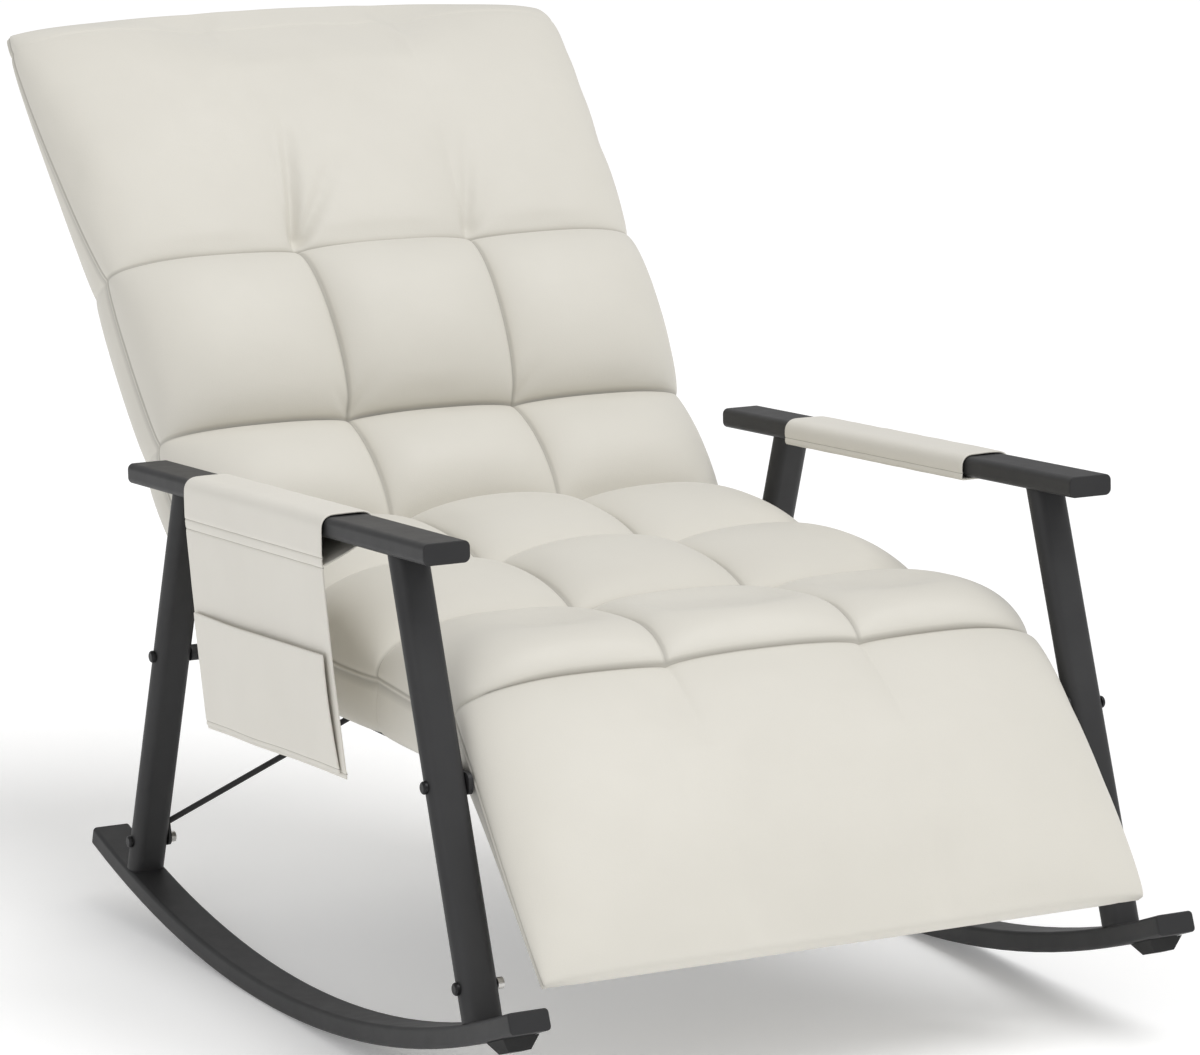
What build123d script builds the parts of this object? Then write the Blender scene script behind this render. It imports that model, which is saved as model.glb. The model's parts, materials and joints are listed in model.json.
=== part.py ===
from build123d import *
import os
from math import asin, cos, degrees, radians, sin, sqrt

# Driving sizes, in millimetres and degrees. X is across the chair, Y runs to the rear, Z is up from the floor.

# Side frames
side_frame_x = 337.0
arm_width = 46.0
arm_thickness = 20.0
arm_corner = 6.0
arm_front_y = -452.0
arm_front_top = 511.0
arm_rear_y = 203.0
arm_rear_top = 476.0
tube_wall = 1.5
leg_width = 38.0
leg_depth = 22.0
front_leg_top_y = -377.0
front_leg_foot_y = -520.0
rear_leg_top_y = 102.0
rear_leg_foot_y = 232.0
rocker_radius = 1393.0
rocker_low_y = -82.0
rocker_front_y = -612.0
rocker_rear_y = 322.0
rocker_width = 40.0
rocker_thickness = 20.0
rocker_corner = 4.0
weld_gap = 0.1

# Caps, stop pads and leg spigots
cap_flange = 3.0
cap_plug = 14.0
cap_fit = 0.15
stop_pad_y = -579.0
stop_pad_width = 36.0
stop_pad_length = 34.0
stop_pad_height = 12.0
stop_pad_draft = 7.0
spigot_length = 52.0
spigot_fit = 0.25

# Fasteners
bolt_radius = 3.0
bolt_head_radius = 6.0
bolt_head_height = 4.0
bolt_clearance = 0.1
nut_radius = 5.5
nut_height = 6.0
front_spigot_bolt_z = 121.0
rear_spigot_bolt_z = 87.0
seat_bolt_z = 290.0

# Seat frame
seat_frame_z = 290.0
seat_rail_x = 275.0
frame_tube_width = 20.0
frame_tube_corner = 2.0
seat_rail_front_y = -408.0
seat_rail_rear_y = 196.0
seat_front_crossbar_y = -322.0
seat_rear_crossbar_y = 153.0
spacer_radius = 8.0
front_spacer_y = -393.0
mount_plate_thickness = 4.5
mount_plate_height = 20.0
mount_plate_margin = 10.0
webbing_thickness = 2.0
webbing_width = 50.0
seat_webbing_count = 6
seat_webbing_front_y = -270.0
seat_webbing_pitch = 74.0

# Hinges of the backrest and the footrest
back_hinge_y = 180.0
foot_hinge_y = -372.0
hinge_plate_thickness = 4.0
hinge_plate_half_height = 9.5
hinge_disc_radius = 15.0
hinge_washer_thickness = 0.8
hinge_washer_radius = 12.0
hinge_washer_clearance = 0.1
hinge_pin_radius = 4.0
hinge_pin_clearance = 0.05
hinge_head_radius = 8.0
hinge_head_height = 4.0
back_fixed_plate_front_y = 112.0
foot_fixed_plate_rear_y = -300.0

# Backrest frame, measured along the back from its hinge
back_angle = 37.5
back_tube_depth = 16.0
back_tube_start = 42.0
back_tube_end = 650.0
back_plate_end = 120.0
back_crossbar_stations = (110.0, 380.0, 638.0)
back_webbing_count = 5
back_webbing_start = 165.0
back_webbing_pitch = 95.0
back_cover_start = 50.0
back_cover_end = 700.0
back_cover_overhang = 7.8
cover_thickness = 2.5
cover_gap = 0.5

# Footrest frame, measured down the footrest from its hinge
foot_angle = 53.0
foot_tube_rise = 30.0
foot_tube_start = 46.0
foot_tube_end = 222.0
foot_plate_end = 96.0
foot_crossbar_stations = (110.0, 212.0)
foot_webbing_count = 2
foot_webbing_start = 140.0
foot_webbing_pitch = 52.0
foot_cover_start = 62.0
foot_cover_end = 230.0

# Cushions
cushion_shoulder_in = 60.0
seat_seam = 53.0
seat_rear_end_y = 150.0
seat_rear_crease_y = -40.0
seat_front_crease_y = -222.0
crease_angle = 105.0
back_crease_crown = 112.0
lumbar_station = 100.0
lumbar_crown = 118.0
lumbar_swell = 10.0
lumbar_crease_station = 206.0
head_crease_station = 399.0
head_end_station = 708.0
foot_panel_station = 140.0
foot_end_station = 246.0
foot_lip_station = 256.0
roll_sweep = 42.0
roll_clearance = 2.0
back_upright_travel = 15.0
back_sweep_clearance = 3.0
knee_base = 44.0
knee_sweep = 70.0
knee_clearance = 1.2
foot_hinge_room = 60.0
tube_track_radius = 86.0
cushion_base_drop = 2.0
frame_recess_clearance = 2.5
strap_recess_clearance = 1.5

# Brace rods behind the seat
brace_radius = 3.0
brace_eye_radius = 8.0
brace_eye_thickness = 3.0
brace_eye_reach = 16.0
brace_tab_eye_drop = 8.0
brace_tab_half_width = 9.0
brace_tab_drop = 24.0
brace_bolt_drop = 14.0
brace_tab_thickness = 4.0

# Arm sleeves, hanging flap and pocket, measured from the front end of the arm
sleeve_thickness = 2.0
sleeve_gap = 0.4
left_sleeve_start = 200.0
left_sleeve_end = 510.0
left_sleeve_hem = 26.0
left_sleeve_return = 30.0
right_sleeve_start = 181.0
right_sleeve_end = 521.0
flap_bottom = 226.0
flap_lean = 40.0
pocket_mouth = 114.0
pocket_mouth_sag = 7.0
pocket_hem = 222.0
pocket_inset = 8.0
pocket_depth = 5.0
pocket_seam = 4.0

rocker_centre = (rocker_low_y, rocker_radius)
back_hinge = (back_hinge_y, seat_frame_z)
foot_hinge = (foot_hinge_y, seat_frame_z)
arm_length = sqrt((arm_rear_y - arm_front_y) ** 2 + (arm_rear_top - arm_front_top) ** 2)
arm_run = ((arm_rear_y - arm_front_y) / arm_length, (arm_rear_top - arm_front_top) / arm_length)
arm_up = (-arm_run[1], arm_run[0])
back_run = (sin(radians(back_angle)), cos(radians(back_angle)))
back_out = (-back_run[1], back_run[0])
foot_run = (-cos(radians(foot_angle)), -sin(radians(foot_angle)))
foot_out = (foot_run[1], -foot_run[0])
sides = (-1, 1)


def step(point, direction, distance):
    """Move a (y, z) point along a (y, z) direction."""
    return (point[0] + direction[0] * distance, point[1] + direction[1] * distance)


def run_plane(x, point, direction):
    """Plane across the chair at x and a (y, z) point, facing along a (y, z) direction."""
    return Plane(origin=(x, point[0], point[1]), x_dir=(1, 0, 0), z_dir=(0, direction[0], direction[1]))


def side_plane(x, point, direction, facing):
    """Plane parallel to the chair's side, its first axis along a (y, z) direction."""
    return Plane(origin=(x, point[0], point[1]), x_dir=(0, direction[0], direction[1]), z_dir=(facing, 0, 0))


def cross_bar(x_from, x_to, point, radius):
    """Round bar across the chair between two x positions."""
    plane = Plane(origin=(x_from, point[0], point[1]), z_dir=(1, 0, 0))
    return extrude(plane * Circle(radius), amount=x_to - x_from)


def block(plane, x_size, y_size, z_size):
    """Block whose base is centred on a plane."""
    return extrude(plane * Rectangle(x_size, y_size), amount=z_size)


def hinge_turn(section, point, angle):
    """Turn a section about a hinge axis across the chair."""
    return revolve(section, Axis((0, point[0], point[1]), (1, 0, 0)), angle)


# Arms

def arm_point(distance, rise=0.0):
    """Point on the middle line of an arm."""
    front = (arm_front_y - arm_up[0] * arm_thickness / 2, arm_front_top - arm_up[1] * arm_thickness / 2)
    return step(step(front, arm_run, distance), arm_up, rise)


def arm_outline(grow):
    """Arm tube outline, grown or shrunk all round."""
    return RectangleRounded(arm_width + 2 * grow, arm_thickness + 2 * grow, arm_corner + grow)


def armrest_tube(side):
    plane = run_plane(side * side_frame_x, arm_point(0), arm_run)
    return extrude(plane * (arm_outline(0) - arm_outline(-tube_wall)), amount=arm_length)


def end_cap(plane, flange, plug):
    """Push-in cap: a flange over the tube end and a plug inside it."""
    head = extrude(plane * flange, amount=cap_flange)
    rim = head.faces().sort_by(Axis(plane.origin, plane.z_dir))[-1].edges()
    return fillet(rim, 1.2) + extrude(plane * plug, amount=-cap_plug)


def armrest_end_caps():
    caps = []
    for side in sides:
        for distance, facing in ((0, -1), (arm_length, 1)):
            direction = (arm_run[0] * facing, arm_run[1] * facing)
            plane = run_plane(side * side_frame_x, arm_point(distance), direction)
            caps.append(end_cap(plane, arm_outline(0), arm_outline(-tube_wall - cap_fit)))
    return caps


# Rockers

def rocker_direction(y):
    """Directions along the rocker to the rear and outwards from its centre, at a y on its lower face."""
    turn = asin((y - rocker_low_y) / rocker_radius)
    return (cos(turn), sin(turn)), (sin(turn), -cos(turn))


def rocker_outline(grow):
    return RectangleRounded(rocker_width + 2 * grow, rocker_thickness + 2 * grow, rocker_corner + grow)


def rocker_plane(x, y, facing):
    along, outward = rocker_direction(y)
    middle = step(rocker_centre, outward, rocker_radius - rocker_thickness / 2)
    return run_plane(x, middle, (along[0] * facing, along[1] * facing))


def rocker(side):
    plane = rocker_plane(side * side_frame_x, rocker_front_y, 1)
    turn_front = asin((rocker_front_y - rocker_low_y) / rocker_radius)
    turn_rear = asin((rocker_rear_y - rocker_low_y) / rocker_radius)
    section = plane * (rocker_outline(0) - rocker_outline(-tube_wall))
    return hinge_turn(section, rocker_centre, degrees(turn_rear - turn_front))


def rocker_end_caps():
    caps = []
    for side in sides:
        for y, facing in ((rocker_front_y, -1), (rocker_rear_y, 1)):
            plane = rocker_plane(side * side_frame_x, y, facing)
            caps.append(end_cap(plane, rocker_outline(0), rocker_outline(-tube_wall - cap_fit)))
    return caps


def rocker_stop_pads():
    along, outward = rocker_direction(stop_pad_y)
    top = step(rocker_centre, outward, rocker_radius + weld_gap)
    pads = []
    for side in sides:
        plane = run_plane(side * side_frame_x, top, outward)
        upper = plane * Rectangle(stop_pad_width, stop_pad_length)
        lower = plane.offset(stop_pad_height) * Rectangle(
            stop_pad_width - 2 * stop_pad_draft, stop_pad_length - 2 * stop_pad_draft
        )
        pads.append(loft([upper.face(), lower.face()], ruled=True))
    return pads


# Legs

def rocker_top_point(y):
    """Point on the rocker's upper face at a y."""
    return (y, rocker_radius - sqrt((rocker_radius - rocker_thickness) ** 2 - (y - rocker_low_y) ** 2))


def arm_underside_point(y):
    return (y, arm_front_top + (y - arm_front_y) * arm_run[1] / arm_run[0] - arm_thickness / arm_run[0])


def leg_line(front):
    if front:
        return rocker_top_point(front_leg_foot_y), arm_underside_point(front_leg_top_y)
    return rocker_top_point(rear_leg_foot_y), arm_underside_point(rear_leg_top_y)


def leg_run(front):
    foot, top = leg_line(front)
    length = sqrt((top[0] - foot[0]) ** 2 + (top[1] - foot[1]) ** 2)
    return ((top[0] - foot[0]) / length, (top[1] - foot[1]) / length), length


def leg_point(front, z):
    """Point on a leg's middle line at a height."""
    foot, top = leg_line(front)
    return (foot[0] + (top[0] - foot[0]) * (z - foot[1]) / (top[1] - foot[1]), z)


def above_rocker(solid, foot):
    """Trim a leg or spigot to the rocker's upper face."""
    along, outward = rocker_direction(foot[0])
    plane = run_plane(0, step(foot, outward, -weld_gap), (-outward[0], -outward[1]))
    return split(solid, bisect_by=plane, keep=Keep.TOP)


def leg_bolt_hole(side, point):
    middle = side * side_frame_x
    return cross_bar(middle - leg_width, middle + leg_width, point, bolt_radius + bolt_clearance)


def leg(side, front):
    foot, top = leg_line(front)
    direction, length = leg_run(front)
    plane = run_plane(side * side_frame_x, step(foot, direction, -leg_depth), direction)
    outer = SlotOverall(leg_width, leg_depth)
    inner = SlotOverall(leg_width - 2 * tube_wall, leg_depth - 2 * tube_wall)
    tube = above_rocker(extrude(plane * (outer - inner), amount=length + 2 * leg_depth), foot)
    tube = split(tube, bisect_by=run_plane(0, top, arm_up), keep=Keep.BOTTOM)
    low_z = front_spigot_bolt_z if front else rear_spigot_bolt_z
    for z in (low_z, seat_bolt_z):
        tube -= leg_bolt_hole(side, leg_point(front, z))
    return tube


def leg_spigots():
    spigots = []
    for side in sides:
        for front, z in ((True, front_spigot_bolt_z), (False, rear_spigot_bolt_z)):
            foot, top = leg_line(front)
            direction, length = leg_run(front)
            plane = run_plane(side * side_frame_x, step(foot, direction, -leg_depth), direction)
            wall = tube_wall + spigot_fit
            outline = SlotOverall(leg_width - 2 * wall, leg_depth - 2 * wall)
            spigot = above_rocker(extrude(plane * outline, amount=spigot_length + leg_depth), foot)
            spigots.append(spigot - leg_bolt_hole(side, leg_point(front, z)))
    return spigots


# Fasteners

def bolt(side, head_x, tip_x, point, radius=bolt_radius, head=bolt_head_radius, height=bolt_head_height):
    """Dome-headed bolt across the chair, its head face at head_x and its tip at tip_x."""
    plane = Plane(origin=(side * head_x, point[0], point[1]), z_dir=(side, 0, 0))
    dome = extrude(plane * Circle(head), amount=height)
    rim = dome.faces().sort_by(Axis(plane.origin, plane.z_dir))[-1].edges()
    return fillet(rim, height * 0.6) + extrude(plane * Circle(radius), amount=tip_x - head_x)


def nut(side, face_x, point, bore, outer=nut_radius, height=nut_height):
    """Round nut whose flat face sits at face_x, on the chair's inner side."""
    plane = Plane(origin=(side * face_x, point[0], point[1]), z_dir=(-side, 0, 0))
    return extrude(plane * (Circle(outer) - Circle(bore + bolt_clearance)), amount=height)


leg_outer_x = side_frame_x + leg_width / 2
leg_inner_x = side_frame_x - leg_width / 2


def spigot_nut_face(front):
    return leg_inner_x if front else leg_inner_x - brace_eye_thickness


def spigot_bolts():
    bolts = []
    for side in sides:
        for front, z in ((True, front_spigot_bolt_z), (False, rear_spigot_bolt_z)):
            tip = spigot_nut_face(front) - nut_height
            bolts.append(bolt(side, leg_outer_x, tip, leg_point(front, z)))
    return bolts


def spigot_nuts():
    nuts = []
    for side in sides:
        for front, z in ((True, front_spigot_bolt_z), (False, rear_spigot_bolt_z)):
            nuts.append(nut(side, spigot_nut_face(front), leg_point(front, z), bolt_radius))
    return nuts


def rail_nut_face():
    """Inside of a seat rail's outer wall, where its nuts sit."""
    return seat_rail_x + frame_tube_width / 2 - tube_wall


def seat_mount_bolts():
    bolts = []
    plate_inner_x = leg_inner_x - mount_plate_thickness
    tip_x = rail_nut_face() - nut_height
    for side in sides:
        bolts.append(bolt(side, leg_outer_x, plate_inner_x, leg_point(True, seat_bolt_z)))
        bolts.append(bolt(side, leg_inner_x, tip_x, (front_spacer_y, seat_frame_z)))
        bolts.append(bolt(side, leg_outer_x, tip_x, leg_point(False, seat_bolt_z)))
    return bolts


def seat_mount_nuts():
    nuts = []
    for side in sides:
        for point in ((front_spacer_y, seat_frame_z), leg_point(False, seat_bolt_z)):
            nuts.append(nut(side, rail_nut_face(), point, bolt_radius))
    return nuts


# Seat frame

def frame_tube(plane, depth, length):
    """Square or flat frame tube run along a plane's facing."""
    outer = RectangleRounded(frame_tube_width, depth, frame_tube_corner)
    inner = RectangleRounded(
        frame_tube_width - 2 * tube_wall, depth - 2 * tube_wall, frame_tube_corner - tube_wall
    )
    return extrude(plane * (outer - inner), amount=length)


def cross_tube(half_length, point, direction, depth):
    """Frame tube across the chair, its flat side square to a (y, z) direction."""
    plane = Plane(
        origin=(-half_length, point[0], point[1]), x_dir=(0, direction[0], direction[1]), z_dir=(1, 0, 0)
    )
    return frame_tube(plane, depth, 2 * half_length)


def seat_rail(side):
    plane = run_plane(side * seat_rail_x, (seat_rail_front_y, seat_frame_z), (1, 0))
    rail = frame_tube(plane, frame_tube_width, seat_rail_rear_y - seat_rail_front_y)
    inner_x = side * (seat_rail_x - frame_tube_width)
    outer_x = side * (seat_rail_x + frame_tube_width)
    for point in ((front_spacer_y, seat_frame_z), leg_point(False, seat_bolt_z)):
        rail -= cross_bar(side * seat_rail_x, outer_x, point, bolt_radius + bolt_clearance)
    for point in (back_hinge, foot_hinge):
        rail -= cross_bar(inner_x, outer_x, point, hinge_pin_radius + hinge_pin_clearance)
    return rail


fixed_plate_inner_x = seat_rail_x - frame_tube_width / 2 - hinge_plate_thickness


def seat_crossbars():
    bars = []
    for y in (seat_front_crossbar_y, seat_rear_crossbar_y):
        bars.append(cross_tube(fixed_plate_inner_x, (y, seat_frame_z), (1, 0), frame_tube_width))
    return bars


def seat_spacers():
    spacers = []
    rail_outer_x = seat_rail_x + frame_tube_width / 2
    plate_inner_x = leg_inner_x - mount_plate_thickness
    outline = Circle(spacer_radius) - Circle(bolt_radius + bolt_clearance)
    for side in sides:
        front = Plane(origin=(side * rail_outer_x, front_spacer_y, seat_frame_z), z_dir=(side, 0, 0))
        rear_point = leg_point(False, seat_bolt_z)
        rear = Plane(origin=(side * rail_outer_x, rear_point[0], rear_point[1]), z_dir=(side, 0, 0))
        spacers.append(extrude(front * outline, amount=plate_inner_x - rail_outer_x))
        spacers.append(extrude(rear * outline, amount=leg_inner_x - rail_outer_x))
    return spacers


def seat_mount_plates():
    """Flat plates from the front legs to the seat rails."""
    plates = []
    front = leg_point(True, seat_bolt_z)
    length = front_spacer_y - front[0] + 2 * mount_plate_margin
    middle = ((front_spacer_y + front[0]) / 2, seat_frame_z)
    for side in sides:
        plane = side_plane(side * leg_inner_x, middle, (1, 0), -side)
        plate = extrude(
            plane * RectangleRounded(length, mount_plate_height, mount_plate_height / 3),
            amount=mount_plate_thickness,
        )
        for point in (front, (front_spacer_y, seat_frame_z)):
            plate -= cross_bar(
                side * (leg_inner_x + 1), side * (leg_inner_x - mount_plate_thickness - 1), point,
                bolt_radius + bolt_clearance,
            )
        plates.append(plate)
    return plates


def strap(half_length, point, out):
    """Webbing strap across the chair lying on a frame face."""
    plane = Plane(origin=(0, point[0], point[1]), x_dir=(1, 0, 0), z_dir=(0, out[0], out[1]))
    return block(plane, 2 * half_length, webbing_width, webbing_thickness)


def seat_webbing():
    straps = []
    for index in range(seat_webbing_count):
        point = (seat_webbing_front_y + index * seat_webbing_pitch, seat_frame_z + frame_tube_width / 2)
        straps.append(strap(seat_rail_x + frame_tube_width / 2, point, (0, 1)))
    return straps


# Hinges

moving_plate_outer_x = fixed_plate_inner_x - hinge_washer_thickness
moving_plate_inner_x = moving_plate_outer_x - hinge_plate_thickness


def hinge_fixed_plate(side, point, end_y):
    """Plate welded inside a seat rail, with the pivot hole at the hinge."""
    length = abs(end_y - point[0])
    middle = ((end_y + point[0]) / 2, point[1])
    plane = side_plane(side * fixed_plate_inner_x, middle, (1, 0), side)
    height = 2 * hinge_plate_half_height
    outline = RectangleRounded(length + height, height, hinge_plate_half_height - 0.5)
    plate = extrude(plane * outline, amount=hinge_plate_thickness)
    reach = side * frame_tube_width
    middle_x = side * fixed_plate_inner_x
    plate -= cross_bar(middle_x - reach, middle_x + reach, point, hinge_pin_radius + hinge_pin_clearance)
    return plate


def hinge_moving_plate(side, point, run, out, rise, start, end):
    """Plate from the pivot up the moving tube, with the pivot hole at the hinge."""
    plane = side_plane(side * moving_plate_inner_x, point, run, side)
    flip = 1 if (plane.y_dir.Y * out[0] + plane.y_dir.Z * out[1]) > 0 else -1
    half = back_tube_depth / 2 - 0.5
    shoulder = Pos(start, flip * rise) * Circle(half)
    neck = make_hull([*Circle(half).edges(), *shoulder.edges()])
    bar = Pos((start + end) / 2, flip * rise) * Rectangle(end - start, 2 * half)
    outline = Circle(hinge_disc_radius) + neck + bar
    plate = extrude(plane * outline, amount=hinge_plate_thickness)
    reach = side * frame_tube_width
    middle_x = side * moving_plate_inner_x
    plate -= cross_bar(middle_x - reach, middle_x + reach, point, hinge_pin_radius + hinge_pin_clearance)
    return plate


def hinge_pin(side, point):
    """Pivot pin with its head inside the moving plate and its tip outside the seat rail."""
    head_x = moving_plate_inner_x - hinge_pin_clearance
    rail_outer_x = seat_rail_x + frame_tube_width / 2
    plane = Plane(origin=(side * head_x, point[0], point[1]), z_dir=(-side, 0, 0))
    head = extrude(plane * Circle(hinge_head_radius), amount=hinge_head_height)
    return head + extrude(plane * Circle(hinge_pin_radius), amount=head_x - rail_outer_x)


def hinge_washer(side, point):
    """Friction washer between the two plates of a hinge."""
    plane = Plane(
        origin=(side * (moving_plate_outer_x + hinge_washer_clearance), point[0], point[1]), z_dir=(side, 0, 0)
    )
    outline = Circle(hinge_washer_radius) - Circle(hinge_pin_radius + hinge_pin_clearance)
    return extrude(plane * outline, amount=hinge_washer_thickness - hinge_washer_clearance)


# Moving frames

moving_tube_x = moving_plate_outer_x + frame_tube_width / 2


def moving_tube(side, point, run, out, rise, start, end):
    base = step(step(point, run, start), out, rise)
    return frame_tube(run_plane(side * moving_tube_x, base, run), back_tube_depth, end - start)


def moving_crossbars(point, run, out, rise, stations):
    bars = []
    half_length = moving_tube_x - frame_tube_width / 2 - hinge_plate_thickness
    for station in stations:
        middle = step(step(point, run, station), out, rise)
        bars.append(cross_tube(half_length, middle, run, back_tube_depth))
    return bars


def moving_webbing(point, run, out, rise, start, pitch, count):
    straps = []
    for index in range(count):
        face = step(step(point, run, start + index * pitch), out, rise + back_tube_depth / 2)
        straps.append(strap(moving_tube_x + frame_tube_width / 2, face, out))
    return straps


def rear_cover(point, run, out, rise, start, end, overhang):
    """Cloth panel behind a moving frame, reaching past its side tubes by the overhang."""
    half_width = moving_tube_x + frame_tube_width / 2 + overhang
    middle = step(step(point, run, (start + end) / 2), out, rise - back_tube_depth / 2 - cover_gap)
    plane = Plane(origin=(0, middle[0], middle[1]), x_dir=(1, 0, 0), z_dir=(0, -out[0], -out[1]))
    outline = RectangleRounded(2 * half_width, end - start, 20)
    return extrude(plane * outline, amount=cover_thickness)


# Cushions

def cushion_face(origin, out, half_width, base_in, base, seam, shoulder, crease_x, crease, side_crown,
                 middle_crown):
    """Outline across a cushion: flat base, boxing, rounded shoulders and three puffed columns."""
    def at(x, height):
        place = step(origin, out, height)
        return (x, place[0], place[1])

    def half(side):
        wide = side * half_width
        inner = side * (half_width - cushion_shoulder_in)
        return [
            Line(at(side * (half_width - base_in), base), at(wide, seam)),
            ThreePointArc(
                at(wide, seam),
                at(side * (half_width - 0.22 * cushion_shoulder_in), seam + 0.66 * (shoulder - seam)),
                at(inner, shoulder),
            ),
            ThreePointArc(
                at(inner, shoulder), at((inner + side * crease_x) / 2, side_crown), at(side * crease_x, crease)
            ),
        ]

    right = half(1)
    left = half(-1)
    middle = ThreePointArc(at(crease_x, crease), at(0, middle_crown), at(-crease_x, crease))
    bottom = Line(at(-half_width + base_in, base), at(half_width - base_in, base))
    return Face(Wire([*right, middle, *left, bottom]))


def back_face(station, **sizes):
    return cushion_face(step(back_hinge, back_run, station), back_out, **sizes)


def seat_face(y, **sizes):
    return cushion_face((y, seat_frame_z), (0, 1), base=-cushion_base_drop, base_in=2, **sizes)


def foot_face(station, **sizes):
    return cushion_face(step(foot_hinge, foot_run, station), foot_out, **sizes)


back_base = -back_tube_depth / 2 - 0.5


def crease_out():
    """Direction from the back hinge to the fold between seat and back."""
    turn = radians(crease_angle)
    return (cos(turn), sin(turn))


def lumbar_out():
    """Direction of the fullest outline of the lower back row, half way between its two creases."""
    turn = radians(90 - back_angle + 90 + crease_angle) / 2
    return (cos(turn), sin(turn))


def back_crease_face():
    """Lowest outline of the back, on a plane through the hinge axis."""
    return cushion_face(
        back_hinge, crease_out(), half_width=290, base_in=4, base=40, seam=82, shoulder=103, crease_x=95,
        crease=105, side_crown=111, middle_crown=back_crease_crown,
    )


def back_lumbar_face():
    return cushion_face(
        step(back_hinge, back_run, lumbar_station), lumbar_out(), half_width=304, base_in=4, base=8, seam=45,
        shoulder=94, crease_x=95, crease=98, side_crown=112, middle_crown=lumbar_crown,
    )


def back_cushion():
    lumbar_crease = back_face(
        lumbar_crease_station, half_width=296, base_in=3, base=back_base, seam=41, shoulder=62, crease_x=94,
        crease=55, side_crown=69, middle_crown=67,
    )
    middle_row = back_face(
        (lumbar_crease_station + head_crease_station) / 2, half_width=309, base_in=5, base=back_base, seam=40,
        shoulder=96, crease_x=96, crease=96, side_crown=111, middle_crown=121,
    )
    head_crease = back_face(
        head_crease_station, half_width=300, base_in=5, base=back_base, seam=39, shoulder=66, crease_x=99,
        crease=68, side_crown=74, middle_crown=79,
    )
    head_row = back_face(
        (head_crease_station + head_end_station) / 2, half_width=316, base_in=8, base=back_base, seam=22,
        shoulder=52, crease_x=102, crease=61, side_crown=61, middle_crown=64,
    )
    head_end = back_face(
        head_end_station, half_width=318, base_in=8, base=back_base, seam=1, shoulder=4, crease_x=104, crease=6,
        side_crown=6, middle_crown=7,
    )
    crease = back_crease_face()
    pad = loft([crease, back_lumbar_face(), lumbar_crease])
    pad += loft([lumbar_crease, middle_row, head_crease])
    pad += loft([head_crease, head_row, head_end])
    pad += hinge_turn(crease, back_hinge, roll_sweep)
    recess_start = back_tube_start - frame_recess_clearance
    recess_length = back_tube_end - back_tube_start + 2 * frame_recess_clearance
    recess_base = step(step(back_hinge, back_run, recess_start), back_out, -back_tube_depth)
    recess_top = back_tube_depth / 2 + webbing_thickness + strap_recess_clearance
    width = 2 * (moving_tube_x + frame_tube_width / 2 + frame_recess_clearance)
    outline = Rectangle(width, recess_top + back_tube_depth, align=(Align.CENTER, Align.MAX))
    return pad - extrude(run_plane(0, recess_base, back_run) * outline, amount=recess_length)


def knee_face(grow, base):
    """Outline of the rolled front of the seat, on the plane through the footrest hinge."""
    return cushion_face(
        foot_hinge, (0, 1), half_width=305 + grow, base_in=4, base=base, seam=62 + grow, shoulder=96 + grow,
        crease_x=102, crease=101 + grow, side_crown=103 + grow, middle_crown=103 + grow,
    )


def seat_pad():
    """Quilted top of the seat: three rows between creases and the roll over the knee."""
    rear_end = seat_face(
        seat_rear_end_y, half_width=294, seam=seat_seam, shoulder=98, crease_x=95, crease=108, side_crown=110,
        middle_crown=118,
    )
    rear_row = seat_face(
        (seat_rear_end_y + seat_rear_crease_y) / 2, half_width=306, seam=seat_seam, shoulder=122, crease_x=95,
        crease=130, side_crown=139, middle_crown=150,
    )
    rear_crease = seat_face(
        seat_rear_crease_y, half_width=300, seam=seat_seam, shoulder=98, crease_x=95, crease=104,
        side_crown=108, middle_crown=114,
    )
    middle_row = seat_face(
        (seat_rear_crease_y + seat_front_crease_y) / 2, half_width=308, seam=seat_seam, shoulder=118,
        crease_x=96, crease=124, side_crown=132, middle_crown=140,
    )
    front_crease = seat_face(
        seat_front_crease_y, half_width=302, seam=seat_seam, shoulder=98, crease_x=97, crease=100,
        side_crown=106, middle_crown=110,
    )
    front_row = seat_face(
        (seat_front_crease_y + foot_hinge_y) / 2, half_width=308, seam=seat_seam, shoulder=112, crease_x=100,
        crease=118, side_crown=122, middle_crown=128,
    )
    pad = loft([rear_end, rear_row, rear_crease])
    pad += loft([rear_crease, middle_row, front_crease])
    pad += loft([front_crease, front_row, knee_face(0, -cushion_base_drop)])
    return pad + hinge_turn(knee_face(0, knee_base), foot_hinge, knee_sweep)


def back_roll_radius():
    """Largest reach of the back's lowest outline from the hinge axis."""
    box = back_crease_face().bounding_box()
    return sqrt((box.min.Y - back_hinge[0]) ** 2 + (box.max.Z - back_hinge[1]) ** 2)


def upright_back_room():
    """Room behind the seat for the lower back row when the back stands upright."""
    crease = step(back_hinge, crease_out(), back_crease_crown + back_sweep_clearance)
    lumbar = step(back_hinge, back_run, lumbar_station)
    crest = step(lumbar, lumbar_out(), lumbar_crown + back_sweep_clearance)
    swell = ((crease[0] + crest[0]) / 2 - lumbar_swell, (crease[1] + crest[1]) / 2)
    behind = step(back_hinge, back_run, lumbar_crease_station)
    plane = Plane(origin=(-side_frame_x, back_hinge[0], back_hinge[1]), x_dir=(0, 1, 0), z_dir=(1, 0, 0))
    corners = [(0, 0)]
    for point in (crease, swell, crest, behind):
        corners.append((point[0] - back_hinge[0], point[1] - back_hinge[1]))
    outline = Rot(0, 0, back_upright_travel) * make_face(Polyline(*corners, close=True))
    return extrude(plane * outline, amount=2 * side_frame_x)


def tube_track(side):
    """Room in the knee for a footrest tube and its hinge plates over the footrest's travel."""
    inner = moving_plate_inner_x - hinge_head_height - frame_recess_clearance
    outer = moving_tube_x + frame_tube_width / 2 + frame_recess_clearance
    return cross_bar(side * inner, side * outer, foot_hinge, tube_track_radius)


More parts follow.
